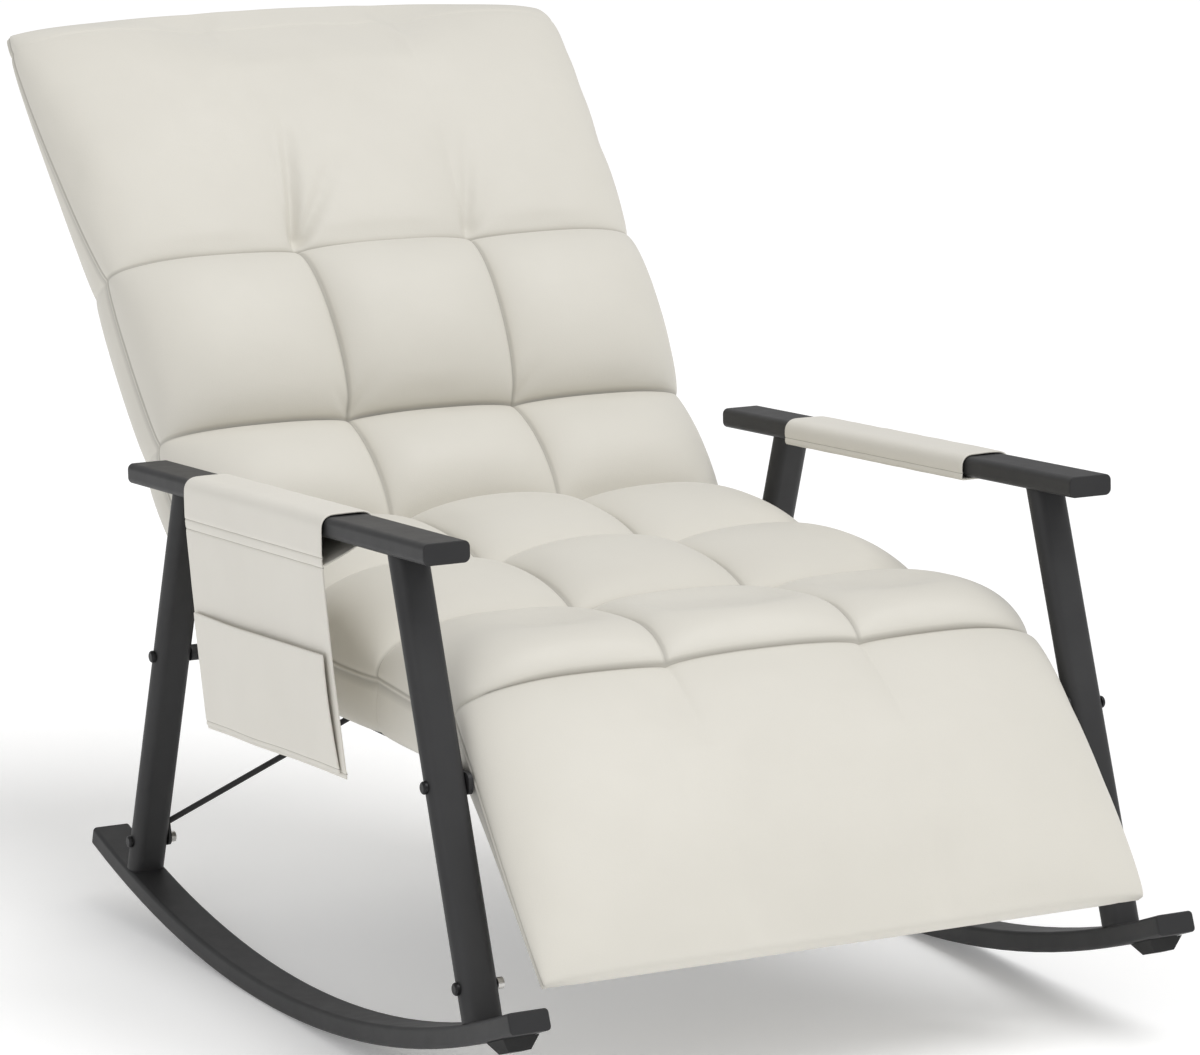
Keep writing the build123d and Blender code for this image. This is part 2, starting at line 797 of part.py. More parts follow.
def seat_cushion():
    pad = seat_pad()
    pad -= cross_bar(-side_frame_x, side_frame_x, back_hinge, back_roll_radius() + roll_clearance)
    pad -= upright_back_room()
    rail_half = seat_rail_x + frame_tube_width / 2 + frame_recess_clearance
    recess_top = frame_tube_width / 2 + webbing_thickness + strap_recess_clearance
    recess = run_plane(0, (seat_rail_front_y - frame_recess_clearance, seat_frame_z), (1, 0))
    outline = Rectangle(2 * rail_half, 2 * recess_top)
    pad -= extrude(recess * outline, amount=seat_rail_rear_y - seat_rail_front_y + 2 * frame_recess_clearance)
    spacer_room = spacer_radius + frame_recess_clearance
    for side in sides:
        pad -= cross_bar(side * seat_rail_x, side * side_frame_x, (front_spacer_y, seat_frame_z), spacer_room)
        pad -= tube_track(side)
    return pad


def footrest_cushion():
    start = foot_face(
        4, half_width=306, base_in=20, base=22, seam=68, shoulder=101, crease_x=102, crease=106, side_crown=108,
        middle_crown=108,
    )
    panel = foot_face(
        foot_panel_station, half_width=309, base_in=24, base=22, seam=67, shoulder=99, crease_x=103, crease=115,
        side_crown=112, middle_crown=119,
    )
    end = foot_face(
        foot_end_station, half_width=310, base_in=24, base=22, seam=62, shoulder=68, crease_x=104, crease=71,
        side_crown=70, middle_crown=73,
    )
    lip = foot_face(
        foot_lip_station, half_width=300, base_in=14, base=38, seam=52, shoulder=56, crease_x=104, crease=58,
        side_crown=60, middle_crown=61,
    )
    pad = loft([start, panel, end]) + loft([end, lip], ruled=True)
    pad -= hinge_turn(knee_face(knee_clearance, knee_base), foot_hinge, 150)
    pad -= cross_bar(-side_frame_x, side_frame_x, foot_hinge, foot_hinge_room)
    plane = run_plane(0, step(foot_hinge, foot_run, foot_tube_start - frame_recess_clearance), foot_run)
    top = foot_tube_rise + back_tube_depth / 2 + webbing_thickness + strap_recess_clearance
    width = 2 * (moving_tube_x + frame_tube_width / 2 + frame_recess_clearance)
    facing = Align.MIN if (plane.y_dir.Y * foot_out[0] + plane.y_dir.Z * foot_out[1]) > 0 else Align.MAX
    outline = Rectangle(width, top, align=(Align.CENTER, facing))
    return pad - extrude(plane * outline, amount=foot_tube_end - foot_tube_start + 2 * frame_recess_clearance)


# Brace rods

def brace_tab_point():
    return (seat_rear_crossbar_y, seat_frame_z - frame_tube_width / 2 - brace_bolt_drop)


def brace_tab():
    plane = Plane(
        origin=(0, seat_rear_crossbar_y, seat_frame_z - frame_tube_width / 2), x_dir=(1, 0, 0), z_dir=(0, 0, -1)
    )
    tab = block(plane, 2 * brace_tab_half_width, brace_tab_thickness, brace_tab_drop)
    hole = Plane(origin=(0, seat_rear_crossbar_y - 20, brace_tab_point()[1]), z_dir=(0, 1, 0))
    return tab - extrude(hole * Circle(bolt_radius + bolt_clearance), amount=40)


def brace_eye(plane, reach_x, reach_y):
    """Flat eye round a bolt, drawn out to where the rod is welded on."""
    outline = make_hull(
        [*Circle(brace_eye_radius).edges(), *(Pos(reach_x, reach_y) * Circle(brace_radius + 1)).edges()]
    )
    return extrude(plane * (outline - Circle(bolt_radius + bolt_clearance)), amount=brace_eye_thickness)


def brace_rod(side):
    """Round rod from a rear leg up to the tab, with a flat eye at each end."""
    low = leg_point(False, rear_spigot_bolt_z)
    tab = brace_tab_point()
    layer = brace_tab_thickness / 2 + (brace_eye_thickness if side > 0 else 0)
    leg_plane = side_plane(side * leg_inner_x, low, (0, 1), -side)
    tab_plane = Plane(origin=(0, tab[0] + layer, tab[1]), x_dir=(1, 0, 0), z_dir=(0, 1, 0))
    leg_eye = brace_eye(leg_plane, brace_eye_reach, 0)
    tab_eye = brace_eye(tab_plane, side * brace_eye_reach, brace_tab_eye_drop)
    start = Vector(side * (leg_inner_x - 0.75 * brace_eye_thickness), low[0], low[1] + brace_eye_reach)
    end = Vector(side * brace_eye_reach, tab[0] + layer + brace_eye_thickness / 2, tab[1] - brace_tab_eye_drop)
    rod = extrude(Plane(origin=start, z_dir=end - start) * Circle(brace_radius), amount=(end - start).length)
    return leg_eye + tab_eye + rod


def brace_bolt():
    tab = brace_tab_point()
    start = tab[0] - brace_tab_thickness / 2
    plane = Plane(origin=(0, start, tab[1]), z_dir=(0, -1, 0))
    head = extrude(plane * Circle(bolt_head_radius), amount=bolt_head_height)
    stack = brace_tab_thickness + 2 * brace_eye_thickness + nut_height
    return head + extrude(plane * Circle(bolt_radius), amount=-stack)


def brace_nut():
    tab = brace_tab_point()
    face = tab[0] + brace_tab_thickness / 2 + 2 * brace_eye_thickness
    plane = Plane(origin=(0, face, tab[1]), z_dir=(0, 1, 0))
    return extrude(plane * (Circle(nut_radius) - Circle(bolt_radius + bolt_clearance)), amount=nut_height)


# Arm sleeves, flap and pocket

def sleeve_ring():
    return arm_outline(sleeve_gap + sleeve_thickness) - arm_outline(sleeve_gap)


def right_arm_sleeve():
    plane = run_plane(side_frame_x, arm_point(right_sleeve_start), arm_run)
    return extrude(plane * sleeve_ring(), amount=right_sleeve_end - right_sleeve_start)


def left_arm_sleeve():
    """Sleeve over the left arm: open below, with a hem outside and a short return inside."""
    plane = run_plane(-side_frame_x, arm_point(left_sleeve_start), arm_run)
    inner_half = arm_width / 2 + sleeve_gap
    outer_half = inner_half + sleeve_thickness
    down = 1 if plane.y_dir.Z < 0 else -1
    upper = Pos(0, -down * arm_thickness) * Rectangle(4 * arm_width, 2 * arm_thickness)
    profile = sleeve_ring() & upper
    for side, length in ((-1, left_sleeve_hem), (1, left_sleeve_return)):
        middle_x = side * (inner_half + outer_half) / 2
        profile += Pos(middle_x, down * length / 2) * Rectangle(sleeve_thickness, length)
    return extrude(plane * profile, amount=left_sleeve_end - left_sleeve_start)


flap_inner_x = side_frame_x + arm_width / 2 + sleeve_gap


def flap_edge(start, down):
    """Distance along the arm of a flap edge at a depth below the arm's middle line."""
    return start - flap_lean * (down - left_sleeve_hem) / (flap_bottom - left_sleeve_hem)


def flap_plane(outward):
    return side_plane(-flap_inner_x - outward, arm_point(0), arm_run, -1)


def side_pocket_flap():
    corners = []
    for start, down in (
        (left_sleeve_start, left_sleeve_hem),
        (left_sleeve_end, left_sleeve_hem),
        (left_sleeve_end, flap_bottom),
        (left_sleeve_start, flap_bottom),
    ):
        corners.append((flap_edge(start, down), down))
    return extrude(flap_plane(0) * make_face(Polyline(*corners, close=True)), amount=sleeve_thickness)


def pocket_outline(inset):
    """Pocket outline with a sagging mouth; the inset draws in its two sides and its hem."""
    hem = pocket_hem - inset
    front_in = pocket_inset + inset
    rear_in = pocket_inset / 2 + inset
    front_top = (flap_edge(left_sleeve_start, pocket_mouth) + front_in, pocket_mouth)
    rear_top = (flap_edge(left_sleeve_end, pocket_mouth) - rear_in, pocket_mouth)
    front_low = (flap_edge(left_sleeve_start, hem) + front_in, hem)
    rear_low = (flap_edge(left_sleeve_end, hem) - rear_in, hem)
    sag = ((front_top[0] + rear_top[0]) / 2, pocket_mouth + pocket_mouth_sag)
    return make_face(
        [ThreePointArc(front_top, sag, rear_top), Polyline(rear_top, rear_low, front_low, front_top)]
    )


def side_pocket():
    """Pocket panel standing off the flap, sewn to it along both sides and the hem."""
    panel = extrude(flap_plane(sleeve_thickness) * pocket_outline(0), amount=pocket_depth + sleeve_thickness)
    room = extrude(flap_plane(sleeve_thickness) * pocket_outline(pocket_seam), amount=pocket_depth)
    return panel - room


def build_parts():
    back = (back_hinge, back_run, back_out, 0.0)
    foot = (foot_hinge, foot_run, foot_out, foot_tube_rise)
    parts = {
        "armrest_end_caps": armrest_end_caps(),
        "rocker_end_caps": rocker_end_caps(),
        "rocker_stop_pads": rocker_stop_pads(),
        "leg_spigots": leg_spigots(),
        "spigot_bolts": spigot_bolts(),
        "spigot_nuts": spigot_nuts(),
        "seat_mount_bolts": seat_mount_bolts(),
        "seat_mount_nuts": seat_mount_nuts(),
        "seat_mount_plates": seat_mount_plates(),
        "seat_spacers": seat_spacers(),
        "seat_crossbars": seat_crossbars(),
        "seat_webbing": seat_webbing(),
        "seat_cushion": seat_cushion(),
        "back_hinge_fixed_plates": [
            hinge_fixed_plate(side, back_hinge, back_fixed_plate_front_y) for side in sides
        ],
        "back_hinge_moving_plates": [
            hinge_moving_plate(side, *back, back_tube_start, back_plate_end) for side in sides
        ],
        "back_hinge_pins": [hinge_pin(side, back_hinge) for side in sides],
        "back_hinge_washers": [hinge_washer(side, back_hinge) for side in sides],
        "back_side_tubes": [moving_tube(side, *back, back_tube_start, back_tube_end) for side in sides],
        "back_crossbars": moving_crossbars(*back, back_crossbar_stations),
        "back_webbing": moving_webbing(*back, back_webbing_start, back_webbing_pitch, back_webbing_count),
        "back_cushion": back_cushion(),
        "back_rear_cover": rear_cover(*back, back_cover_start, back_cover_end, back_cover_overhang),
        "foot_hinge_fixed_plates": [
            hinge_fixed_plate(side, foot_hinge, foot_fixed_plate_rear_y) for side in sides
        ],
        "foot_hinge_moving_plates": [
            hinge_moving_plate(side, *foot, foot_tube_start, foot_plate_end) for side in sides
        ],
        "foot_hinge_pins": [hinge_pin(side, foot_hinge) for side in sides],
        "foot_hinge_washers": [hinge_washer(side, foot_hinge) for side in sides],
        "footrest_side_tubes": [moving_tube(side, *foot, foot_tube_start, foot_tube_end) for side in sides],
        "footrest_crossbars": moving_crossbars(*foot, foot_crossbar_stations),
        "footrest_webbing": moving_webbing(*foot, foot_webbing_start, foot_webbing_pitch, foot_webbing_count),
        "footrest_cushion": footrest_cushion(),
        "footrest_rear_cover": rear_cover(*foot, foot_cover_start, foot_cover_end, 0),
        "brace_tab": brace_tab(),
        "brace_bolt": brace_bolt(),
        "brace_nut": brace_nut(),
        "left_arm_sleeve": left_arm_sleeve(),
        "right_arm_sleeve": right_arm_sleeve(),
        "side_pocket_flap": side_pocket_flap(),
        "side_pocket": side_pocket(),
    }
    for name, side in (("left", -1), ("right", 1)):
        parts[name + "_armrest"] = armrest_tube(side)
        parts[name + "_rocker"] = rocker(side)
        parts[name + "_front_leg"] = leg(side, True)
        parts[name + "_rear_leg"] = leg(side, False)
        parts[name + "_seat_rail"] = seat_rail(side)
        parts[name + "_brace_rod"] = brace_rod(side)
    return parts


def export_parts(parts):
    os.makedirs("parts", exist_ok=True)
    for name, shape in parts.items():
        if isinstance(shape, list):
            shape = Compound(children=[Solid(part.solid().wrapped) for part in shape])
        export_step(shape, "parts/" + name + ".step")


export_parts(build_parts())
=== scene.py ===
# %% [markdown]
# # A nursing chair, dressed
# The chair is a black steel rocker with a quilted ivory cushion that folds over the seat, the back and the
# footrest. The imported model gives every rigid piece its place, so this file paints the steel and makes the
# soft goods again as cloth. Everything is in metres, with the floor at zero, the sitter facing -Y and the
# pocket on the -X side.

# %% Load the frame
import bpy
import bmesh
import json
from math import cos, exp, pi, radians, sin, sqrt
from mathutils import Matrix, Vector, noise


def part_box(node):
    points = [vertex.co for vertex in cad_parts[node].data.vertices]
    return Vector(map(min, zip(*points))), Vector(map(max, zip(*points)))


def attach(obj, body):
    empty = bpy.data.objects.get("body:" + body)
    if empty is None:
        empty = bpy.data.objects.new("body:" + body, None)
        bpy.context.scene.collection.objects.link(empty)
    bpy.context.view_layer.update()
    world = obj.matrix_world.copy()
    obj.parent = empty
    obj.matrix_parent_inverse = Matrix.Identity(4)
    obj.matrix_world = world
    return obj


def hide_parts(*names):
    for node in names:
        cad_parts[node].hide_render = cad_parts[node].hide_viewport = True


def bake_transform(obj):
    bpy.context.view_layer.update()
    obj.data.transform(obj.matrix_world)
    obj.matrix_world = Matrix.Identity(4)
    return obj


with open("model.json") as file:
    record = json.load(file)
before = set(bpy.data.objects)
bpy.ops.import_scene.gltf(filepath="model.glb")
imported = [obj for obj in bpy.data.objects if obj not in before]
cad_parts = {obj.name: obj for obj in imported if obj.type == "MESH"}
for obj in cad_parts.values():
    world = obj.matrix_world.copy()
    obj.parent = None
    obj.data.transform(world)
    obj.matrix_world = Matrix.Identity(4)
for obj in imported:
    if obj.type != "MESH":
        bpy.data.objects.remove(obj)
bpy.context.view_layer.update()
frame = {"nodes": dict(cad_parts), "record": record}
MM = 0.001

# %% [markdown]
# ## Camera
# The picture was taken with a long lens from the front left, a little above the seat. The camera is turned
# so that its own -Z axis looks along the line of sight, which to_track_quat works out from a direction.

# %% Camera
camera_place = Vector((-2.328, -4.463, 1.406))
line_of_sight = Vector((0.4627, 0.8652, -0.1934))
lens_mm = 156.0

camera_data = bpy.data.cameras.new("photo_camera")
camera_data.lens = lens_mm
camera_data.sensor_width = 36.0
camera = bpy.data.objects.new("photo_camera", camera_data)
camera.location = camera_place
camera.rotation_euler = line_of_sight.to_track_quat("-Z", "Y").to_euler()
bpy.context.collection.objects.link(camera)
bpy.context.scene.camera = camera
print("camera", tuple(round(v, 3) for v in camera.location))

# %% [markdown]
# ## Studio
# A pale floor and wide soft light give the even, almost shadowless look of a catalogue picture. A sun with
# a broad disc lights the whole floor alike, where a lamp near the chair would leave the far floor grey, and
# two soft boxes fill in from the left and from behind.

# %% Floor and lights
floor_half_size = 14.0
lamp_target = Vector((0, 0, 0.4))


def studio_floor():
    mesh = bpy.data.meshes.new("studio_floor")
    shape = bmesh.new()
    bmesh.ops.create_grid(shape, x_segments=1, y_segments=1, size=floor_half_size)
    shape.to_mesh(mesh)
    shape.free()
    floor = bpy.data.objects.new("studio_floor", mesh)
    bpy.context.collection.objects.link(floor)
    paint = bpy.data.materials.new("pale_floor")
    paint.use_nodes = True
    shader = paint.node_tree.nodes["Principled BSDF"]
    shader.inputs["Base Color"].default_value = (0.92, 0.92, 0.92, 1)
    shader.inputs["Roughness"].default_value = 0.9
    shader.inputs["Emission Color"].default_value = (1, 1, 1, 1)
    shader.inputs["Emission Strength"].default_value = 0.2
    mesh.materials.append(paint)


def hang_lamp(lamp, place):
    """Turns a lamp at a place towards the middle of the chair."""
    holder = bpy.data.objects.new(lamp.name, lamp)
    holder.location = place
    holder.rotation_euler = (lamp_target - Vector(place)).to_track_quat("-Z", "Y").to_euler()
    bpy.context.collection.objects.link(holder)


def soft_box(name, place, size, power):
    lamp = bpy.data.lights.new(name, "AREA")
    lamp.size = size
    lamp.energy = power
    hang_lamp(lamp, place)


def broad_sun(name, place, spread, strength):
    lamp = bpy.data.lights.new(name, "SUN")
    lamp.angle = radians(spread)
    lamp.energy = strength
    hang_lamp(lamp, place)


studio_floor()
broad_sun("key_sun", (1.2, -1.6, 4.2), spread=40.0, strength=1.52)
soft_box("left_box", (-3.4, -2.4, 2.2), size=2.4, power=21)
soft_box("rear_box", (0.6, 3.4, 3.6), size=2.6, power=10)
sky = bpy.data.worlds.new("studio_sky")
sky.use_nodes = True
backdrop = sky.node_tree.nodes["Background"]
backdrop.inputs["Color"].default_value = (1, 1, 1, 1)
backdrop.inputs["Strength"].default_value = 0.5
bpy.context.scene.world = sky
bpy.context.scene.view_settings.view_transform = "Standard"
print("studio ready")

# %% [markdown]
# ## Finishes
# Each finish is a small node tree on a Principled shader. A fine noise drives the bump, a coarse one shifts
# the roughness a little, and the colour wanders by a few percent, because no real surface is one flat
# colour. All of them read Object coordinates, so the grain keeps its real size on every piece.

# %% Finish helpers
def add_node(tree, kind, **inputs):
    node = tree.nodes.new(kind)
    for name, value in inputs.items():
        node.inputs[name].default_value = value
    return node


def finish_base(name, roughness):
    """A new material with its shader and its Object coordinates."""
    material = bpy.data.materials.new(name)
    material.use_nodes = True
    tree = material.node_tree
    shader = tree.nodes["Principled BSDF"]
    shader.inputs["Roughness"].default_value = roughness
    coordinates = tree.nodes.new("ShaderNodeTexCoord")
    return material, tree, shader, coordinates.outputs["Object"]


def noise_node(tree, vector, scale, detail=4.0, roughness=0.55):
    node = add_node(tree, "ShaderNodeTexNoise", Scale=scale, Detail=detail, Roughness=roughness)
    tree.links.new(vector, node.inputs["Vector"])
    return node.outputs["Fac"]


def ramp_node(tree, factor, low, high, dark, light):
    """A colour ramp between two colours."""
    ramp = tree.nodes.new("ShaderNodeValToRGB")
    ramp.color_ramp.elements[0].position = low
    ramp.color_ramp.elements[0].color = dark
    ramp.color_ramp.elements[1].position = high
    ramp.color_ramp.elements[1].color = light
    tree.links.new(factor, ramp.inputs["Fac"])
    return ramp.outputs["Color"]


def range_node(tree, factor, low, high):
    node = add_node(tree, "ShaderNodeMapRange", **{"To Min": low, "To Max": high})
    tree.links.new(factor, node.inputs["Value"])
    return node.outputs["Result"]


def bump_node(tree, height, strength, distance, below=None):
    node = add_node(tree, "ShaderNodeBump", Strength=strength, Distance=distance)
    tree.links.new(height, node.inputs["Height"])
    if below is not None:
        tree.links.new(below, node.inputs["Normal"])
    return node.outputs["Normal"]


# %% [markdown]
# ### Ivory faux leather
# The covers are a coated cloth: warm off-white, soft satin, with a fine pebble grain that only shows close
# up. A Voronoi pattern makes the pebbles and a little sheen keeps the edges of the puffs bright. Sewn lines
# get painted shade: their colour is darkened to stand in for the shade that falls into creases, grooves and
# seams. Each piece marks its own sewn points with an attribute, and the colour follows that.

# %% Ivory faux leather
seam_mark = "seam_shade"
# Tone of the painted shade that darkens creases, welt grooves and stitched seams
painted_seam_shade_tone = (0.30, 0.285, 0.25, 1)


def paint_seam_shade(tree, cover):
    """Mixes painted shade into the cover's colour where the piece's own attribute marks a sewn line."""
    mark = tree.nodes.new("ShaderNodeAttribute")
    mark.attribute_name = seam_mark
    blend = tree.nodes.new("ShaderNodeMix")
    blend.data_type = "RGBA"
    colours = [socket for socket in blend.inputs if socket.type == "RGBA"]
    colours[1].default_value = painted_seam_shade_tone
    tree.links.new(mark.outputs["Fac"], blend.inputs["Factor"])
    tree.links.new(cover, colours[0])
    return [socket for socket in blend.outputs if socket.type == "RGBA"][0]


def ivory_leather(name, light, dark):
    material, tree, shader, place = finish_base(name, 0.5)
    cloud = noise_node(tree, place, 9.0)
    cover = ramp_node(tree, cloud, 0.3, 0.75, dark, light)
    tree.links.new(paint_seam_shade(tree, cover), shader.inputs["Base Color"])
    tree.links.new(range_node(tree, noise_node(tree, place, 40.0), 0.44, 0.58), shader.inputs["Roughness"])
    pebble = add_node(tree, "ShaderNodeTexVoronoi", Scale=900.0)
    tree.links.new(place, pebble.inputs["Vector"])
    grain = bump_node(tree, pebble.outputs["Distance"], 0.10, 0.0006)
    soft = bump_node(tree, noise_node(tree, place, 160.0), 0.05, 0.001, grain)
    tree.links.new(soft, shader.inputs["Normal"])
    shader.inputs["Sheen Weight"].default_value = 0.12
    shader.inputs["Sheen Roughness"].default_value = 0.5
    shader.inputs["Specular IOR Level"].default_value = 0.35
    return material


cushion_leather = ivory_leather("cushion_leather", (0.705, 0.681, 0.616, 1), (0.680, 0.656, 0.592, 1))
# A lighter copy of the cushion leather: painted light that lifts the sleeves, pocket and rear panels, which
# sit in shade
lightened_cover_leather = ivory_leather("lightened_cover_leather", (0.765, 0.739, 0.674, 1), (0.740, 0.714, 0.650, 1))
print("leather finishes ready")

# %% [markdown]
# ### Black powder coat, plastic, rubber and webbing
# The tubes are powder coated: a dark grey with a very fine orange-peel skin. The caps are moulded plastic,
# a shade duller, the stop pads are rubber, and a few nuts are bright zinc. The webbing is woven, so two
# wave patterns cross to make its threads.

# %% Hard finishes and webbing
def hard_finish(name, light, dark, roughness, grain_scale, grain_strength, metallic=0.0):
    material, tree, shader, place = finish_base(name, roughness)
    cloud = noise_node(tree, place, 14.0)
    tree.links.new(ramp_node(tree, cloud, 0.3, 0.7, dark, light), shader.inputs["Base Color"])
    worn = range_node(tree, noise_node(tree, place, 55.0), roughness - 0.06, roughness + 0.07)
    tree.links.new(worn, shader.inputs["Roughness"])
    skin = bump_node(tree, noise_node(tree, place, grain_scale, 2.0), grain_strength, 0.0005)
    tree.links.new(skin, shader.inputs["Normal"])
    shader.inputs["Metallic"].default_value = metallic
    shader.inputs["Specular IOR Level"].default_value = 0.3
    return material


def woven_band(name):
    material, tree, shader, place = finish_base(name, 0.85)
    threads = []
    for direction in ("X", "Y"):
        wave = add_node(tree, "ShaderNodeTexWave", Scale=260.0)
        wave.bands_direction = direction
        tree.links.new(place, wave.inputs["Vector"])
        threads.append(wave.outputs["Fac"])
    cross = tree.nodes.new("ShaderNodeMath")
    cross.operation = "MAXIMUM"
    tree.links.new(threads[0], cross.inputs[0])
    tree.links.new(threads[1], cross.inputs[1])
    dark, light = (0.012, 0.012, 0.013, 1), (0.045, 0.045, 0.047, 1)
    colour = ramp_node(tree, cross.outputs["Value"], 0.2, 0.9, dark, light)
    tree.links.new(colour, shader.inputs["Base Color"])
    tree.links.new(bump_node(tree, cross.outputs["Value"], 0.4, 0.0008), shader.inputs["Normal"])
    return material


powder_coat = hard_finish("black_powder_coat", (0.039, 0.039, 0.040, 1), (0.031, 0.031, 0.032, 1),
                          roughness=0.50, grain_scale=900, grain_strength=0.10)
cap_plastic = hard_finish("black_cap_plastic", (0.029, 0.029, 0.030, 1), (0.023, 0.023, 0.024, 1),
                          roughness=0.5, grain_scale=1400, grain_strength=0.12)
bolt_black = hard_finish("black_bolt_finish", (0.030, 0.030, 0.031, 1), (0.020, 0.020, 0.021, 1),
                         roughness=0.38, grain_scale=1600, grain_strength=0.06, metallic=0.7)
pale_zinc = hard_finish("pale_zinc", (0.62, 0.61, 0.59, 1), (0.50, 0.49, 0.47, 1),
                        roughness=0.32, grain_scale=1500, grain_strength=0.05, metallic=1.0)
stop_rubber = hard_finish("stop_rubber", (0.022, 0.022, 0.022, 1), (0.015, 0.015, 0.015, 1),
                          roughness=0.75, grain_scale=700, grain_strength=0.2)
webbing_weave = woven_band("webbing_weave")

node_finishes = {
    "black_steel": powder_coat,
    "black_hardware": bolt_black,
    "black_plastic": cap_plastic,
    "stop_rubber": stop_rubber,
    "ivory_cover": lightened_cover_leather,
    "ivory_cushion": cushion_leather,
    "webbing": webbing_weave,
}
pale_nodes = ("spigot_nuts", "brace_nut")
for subpart in frame["record"]["subparts"]:
    node = frame["nodes"][subpart["node"]]
    finish = pale_zinc if subpart["node"] in pale_nodes else node_finishes[subpart["material_slot"]]
    node.data.materials.clear()
    node.data.materials.append(finish)

# %% [markdown]
# ## The quilted cushion
# On the real chair one cover runs from the head to the feet: rows and columns of sewn channels with soft
# filling between them. A cushion here is a grid whose rows are ribs across the chair. Each rib is a closed
# loop: three puffed columns on top, a rounded shoulder down to the side seam, a welt, the boxing, and a
# flat underside with a recess for the frame. Along the chair the rib's sizes swell between two creases.
# Blender's create_grid makes the faces and the ribs move its points, which keeps the creases exactly on
# edges of the mesh.

# %% Puffs and ribs
def puff(share):
    """Swell of a filled channel between its two seams: nothing at the seams, full in the middle."""
    return max(0.0, 1.0 - abs(2.0 * share - 1.0) ** 2.2) ** 0.56


def crowd(share):
    """Moves evenly spread points towards both ends, where the creases need them."""
    return share - 0.55 * sin(2 * pi * share) / (2 * pi)


def mix(first, last, share):
    return first + (last - first) * share


class Rib:
    """Sizes of one outline across a cushion, in millimetres above its base line.

    The tuck is how far the boxing turns in behind its seam, and the bow how far the middle is pushed along
    the chair. A shoulder of 2 is an ellipse and a larger one is squarer.
    """

    def __init__(self, half_width, seam, crease_x, crease, side_crown, middle_crown, boxing, recess,
                 tuck=0, bow=0, shoulder=2.3):
        self.half_width = half_width
        self.seam = seam
        self.crease_x = crease_x
        self.crease = crease
        self.side_crown = side_crown
        self.middle_crown = middle_crown
        self.boxing = boxing
        self.recess = recess
        self.tuck = tuck
        self.bow = bow
        self.shoulder = shoulder

    def swell(self, other, middle, share):
        """Rib between this crease and another, full at the middle one."""
        sizes = {}
        for name, value in vars(self).items():
            last = getattr(other, name)
            full = getattr(middle, name) - (value + last) / 2
            sizes[name] = mix(value, last, share) + full * puff(share)
        return Rib(**sizes)


middle_points = 12
side_points = 11
shoulder_points = 15
boxing_points = 5
under_points = 9
welt = ((-1.8, 1.2), (1.4, 3.4), (-1.8, 5.6))
frame_room_x = 286.0


def half_rib(rib):
    """Points (x, height) of a rib's right half, from the middle of its top to that of its underside."""
    points = []
    for index in range(middle_points):
        share = crowd(0.5 + 0.5 * index / middle_points)
        swell = puff(share)
        points.append((rib.crease_x * (2 * share - 1), mix(rib.crease, rib.middle_crown, swell)))
    crown_x = mix(rib.crease_x, rib.half_width, 0.45)
    for index in range(side_points):
        share = crowd(0.5 * index / side_points)
        points.append((mix(rib.crease_x, crown_x, 2 * share), mix(rib.crease, rib.side_crown, puff(share))))
    for index in range(shoulder_points + 1):
        turn = pi / 2 * index / shoulder_points
        out = sin(turn) ** (2 / rib.shoulder)
        rise = max(0.0, cos(turn)) ** (2 / rib.shoulder)
        points.append((mix(crown_x, rib.half_width, out), mix(rib.seam, rib.side_crown, rise)))
    for out, drop in welt:
        points.append((rib.half_width + out, rib.seam - drop))
    base = rib.seam - rib.boxing
    top = rib.seam - welt[-1][1]
    for index in range(1, boxing_points + 1):
        share = index / boxing_points
        tucked = rib.half_width - 1.8 + 3.0 * sin(pi * share) - rib.tuck * share ** 1.5
        points.append((max(tucked, frame_room_x + 2.0), mix(top, base, share)))
    points.append((frame_room_x + 1.0, base))
    points.append((frame_room_x, rib.recess))
    for index in range(1, under_points + 1):
        points.append((frame_room_x * (1 - index / under_points), rib.recess))
    return points


def whole_rib(rib):
    """The closed outline: the right half and its mirror image, without the two shared middle points twice."""
    right = half_rib(rib)
    left = [(-x, height) for x, height in reversed(right[1:-1])]
    return right + left


crease_index = middle_points
seam_index = middle_points + side_points + shoulder_points
rib_points = len(whole_rib(Rib(300, 50, 95, 100, 105, 110, 50, 14)))
print("points in a rib:", rib_points)

# %% [markdown]
# A cushion's path says where each rib stands: a point on the base line and the direction in which heights
# are measured. The seat's ribs stand upright and then fan round the knee, the back's ribs fan out of the
# fold and lean with the back, and the footrest's ribs carry on from the knee.

# %% Cushion mesh from ribs
def place_on(path_point, lean, x, height):
    """Point in metres from a base point (y, z), a lean in degrees and a rib's own (x, height)."""
    turn = radians(lean)
    return Vector((x, path_point[0] + cos(turn) * height, path_point[1] + sin(turn) * height)) * MM


def along_run(lean):
    """Direction along a cushion, square to the direction in which its heights are measured."""
    return Vector((0, sin(radians(lean)), -cos(radians(lean))))


def cushion_mesh(name, ribs):
    """Closed mesh through a list of (base point, lean, rib)."""
    shape = bmesh.new()
    bmesh.ops.create_grid(shape, x_segments=rib_points, y_segments=len(ribs) - 1, size=0.5)
    shape.verts.ensure_lookup_table()
    outlines = [whole_rib(rib) for point, lean, rib in ribs]
    across = rib_points + 1
    for index, vertex in enumerate(shape.verts):
        row, column = divmod(index, across)
        point, lean, rib = ribs[row]
        x, height = outlines[row][column % rib_points]
        bow = rib.bow * (1 - (x / rib.half_width) ** 2) * MM  # nothing at the sides
        vertex.co = place_on(point, lean, x, height) + along_run(lean) * bow
    weld = {}
    for row in range(len(ribs)):
        weld[shape.verts[row * across + rib_points]] = shape.verts[row * across]
    bmesh.ops.weld_verts(shape, targetmap=weld)
    bmesh.ops.holes_fill(shape, edges=[edge for edge in shape.edges if edge.is_boundary], sides=0)
    bmesh.ops.triangulate(shape, faces=[face for face in shape.faces if len(face.verts) > 4])
    bmesh.ops.recalc_face_normals(shape, faces=shape.faces)
    mesh = bpy.data.meshes.new(name)
    shape.to_mesh(mesh)
    shape.free()
    return mesh


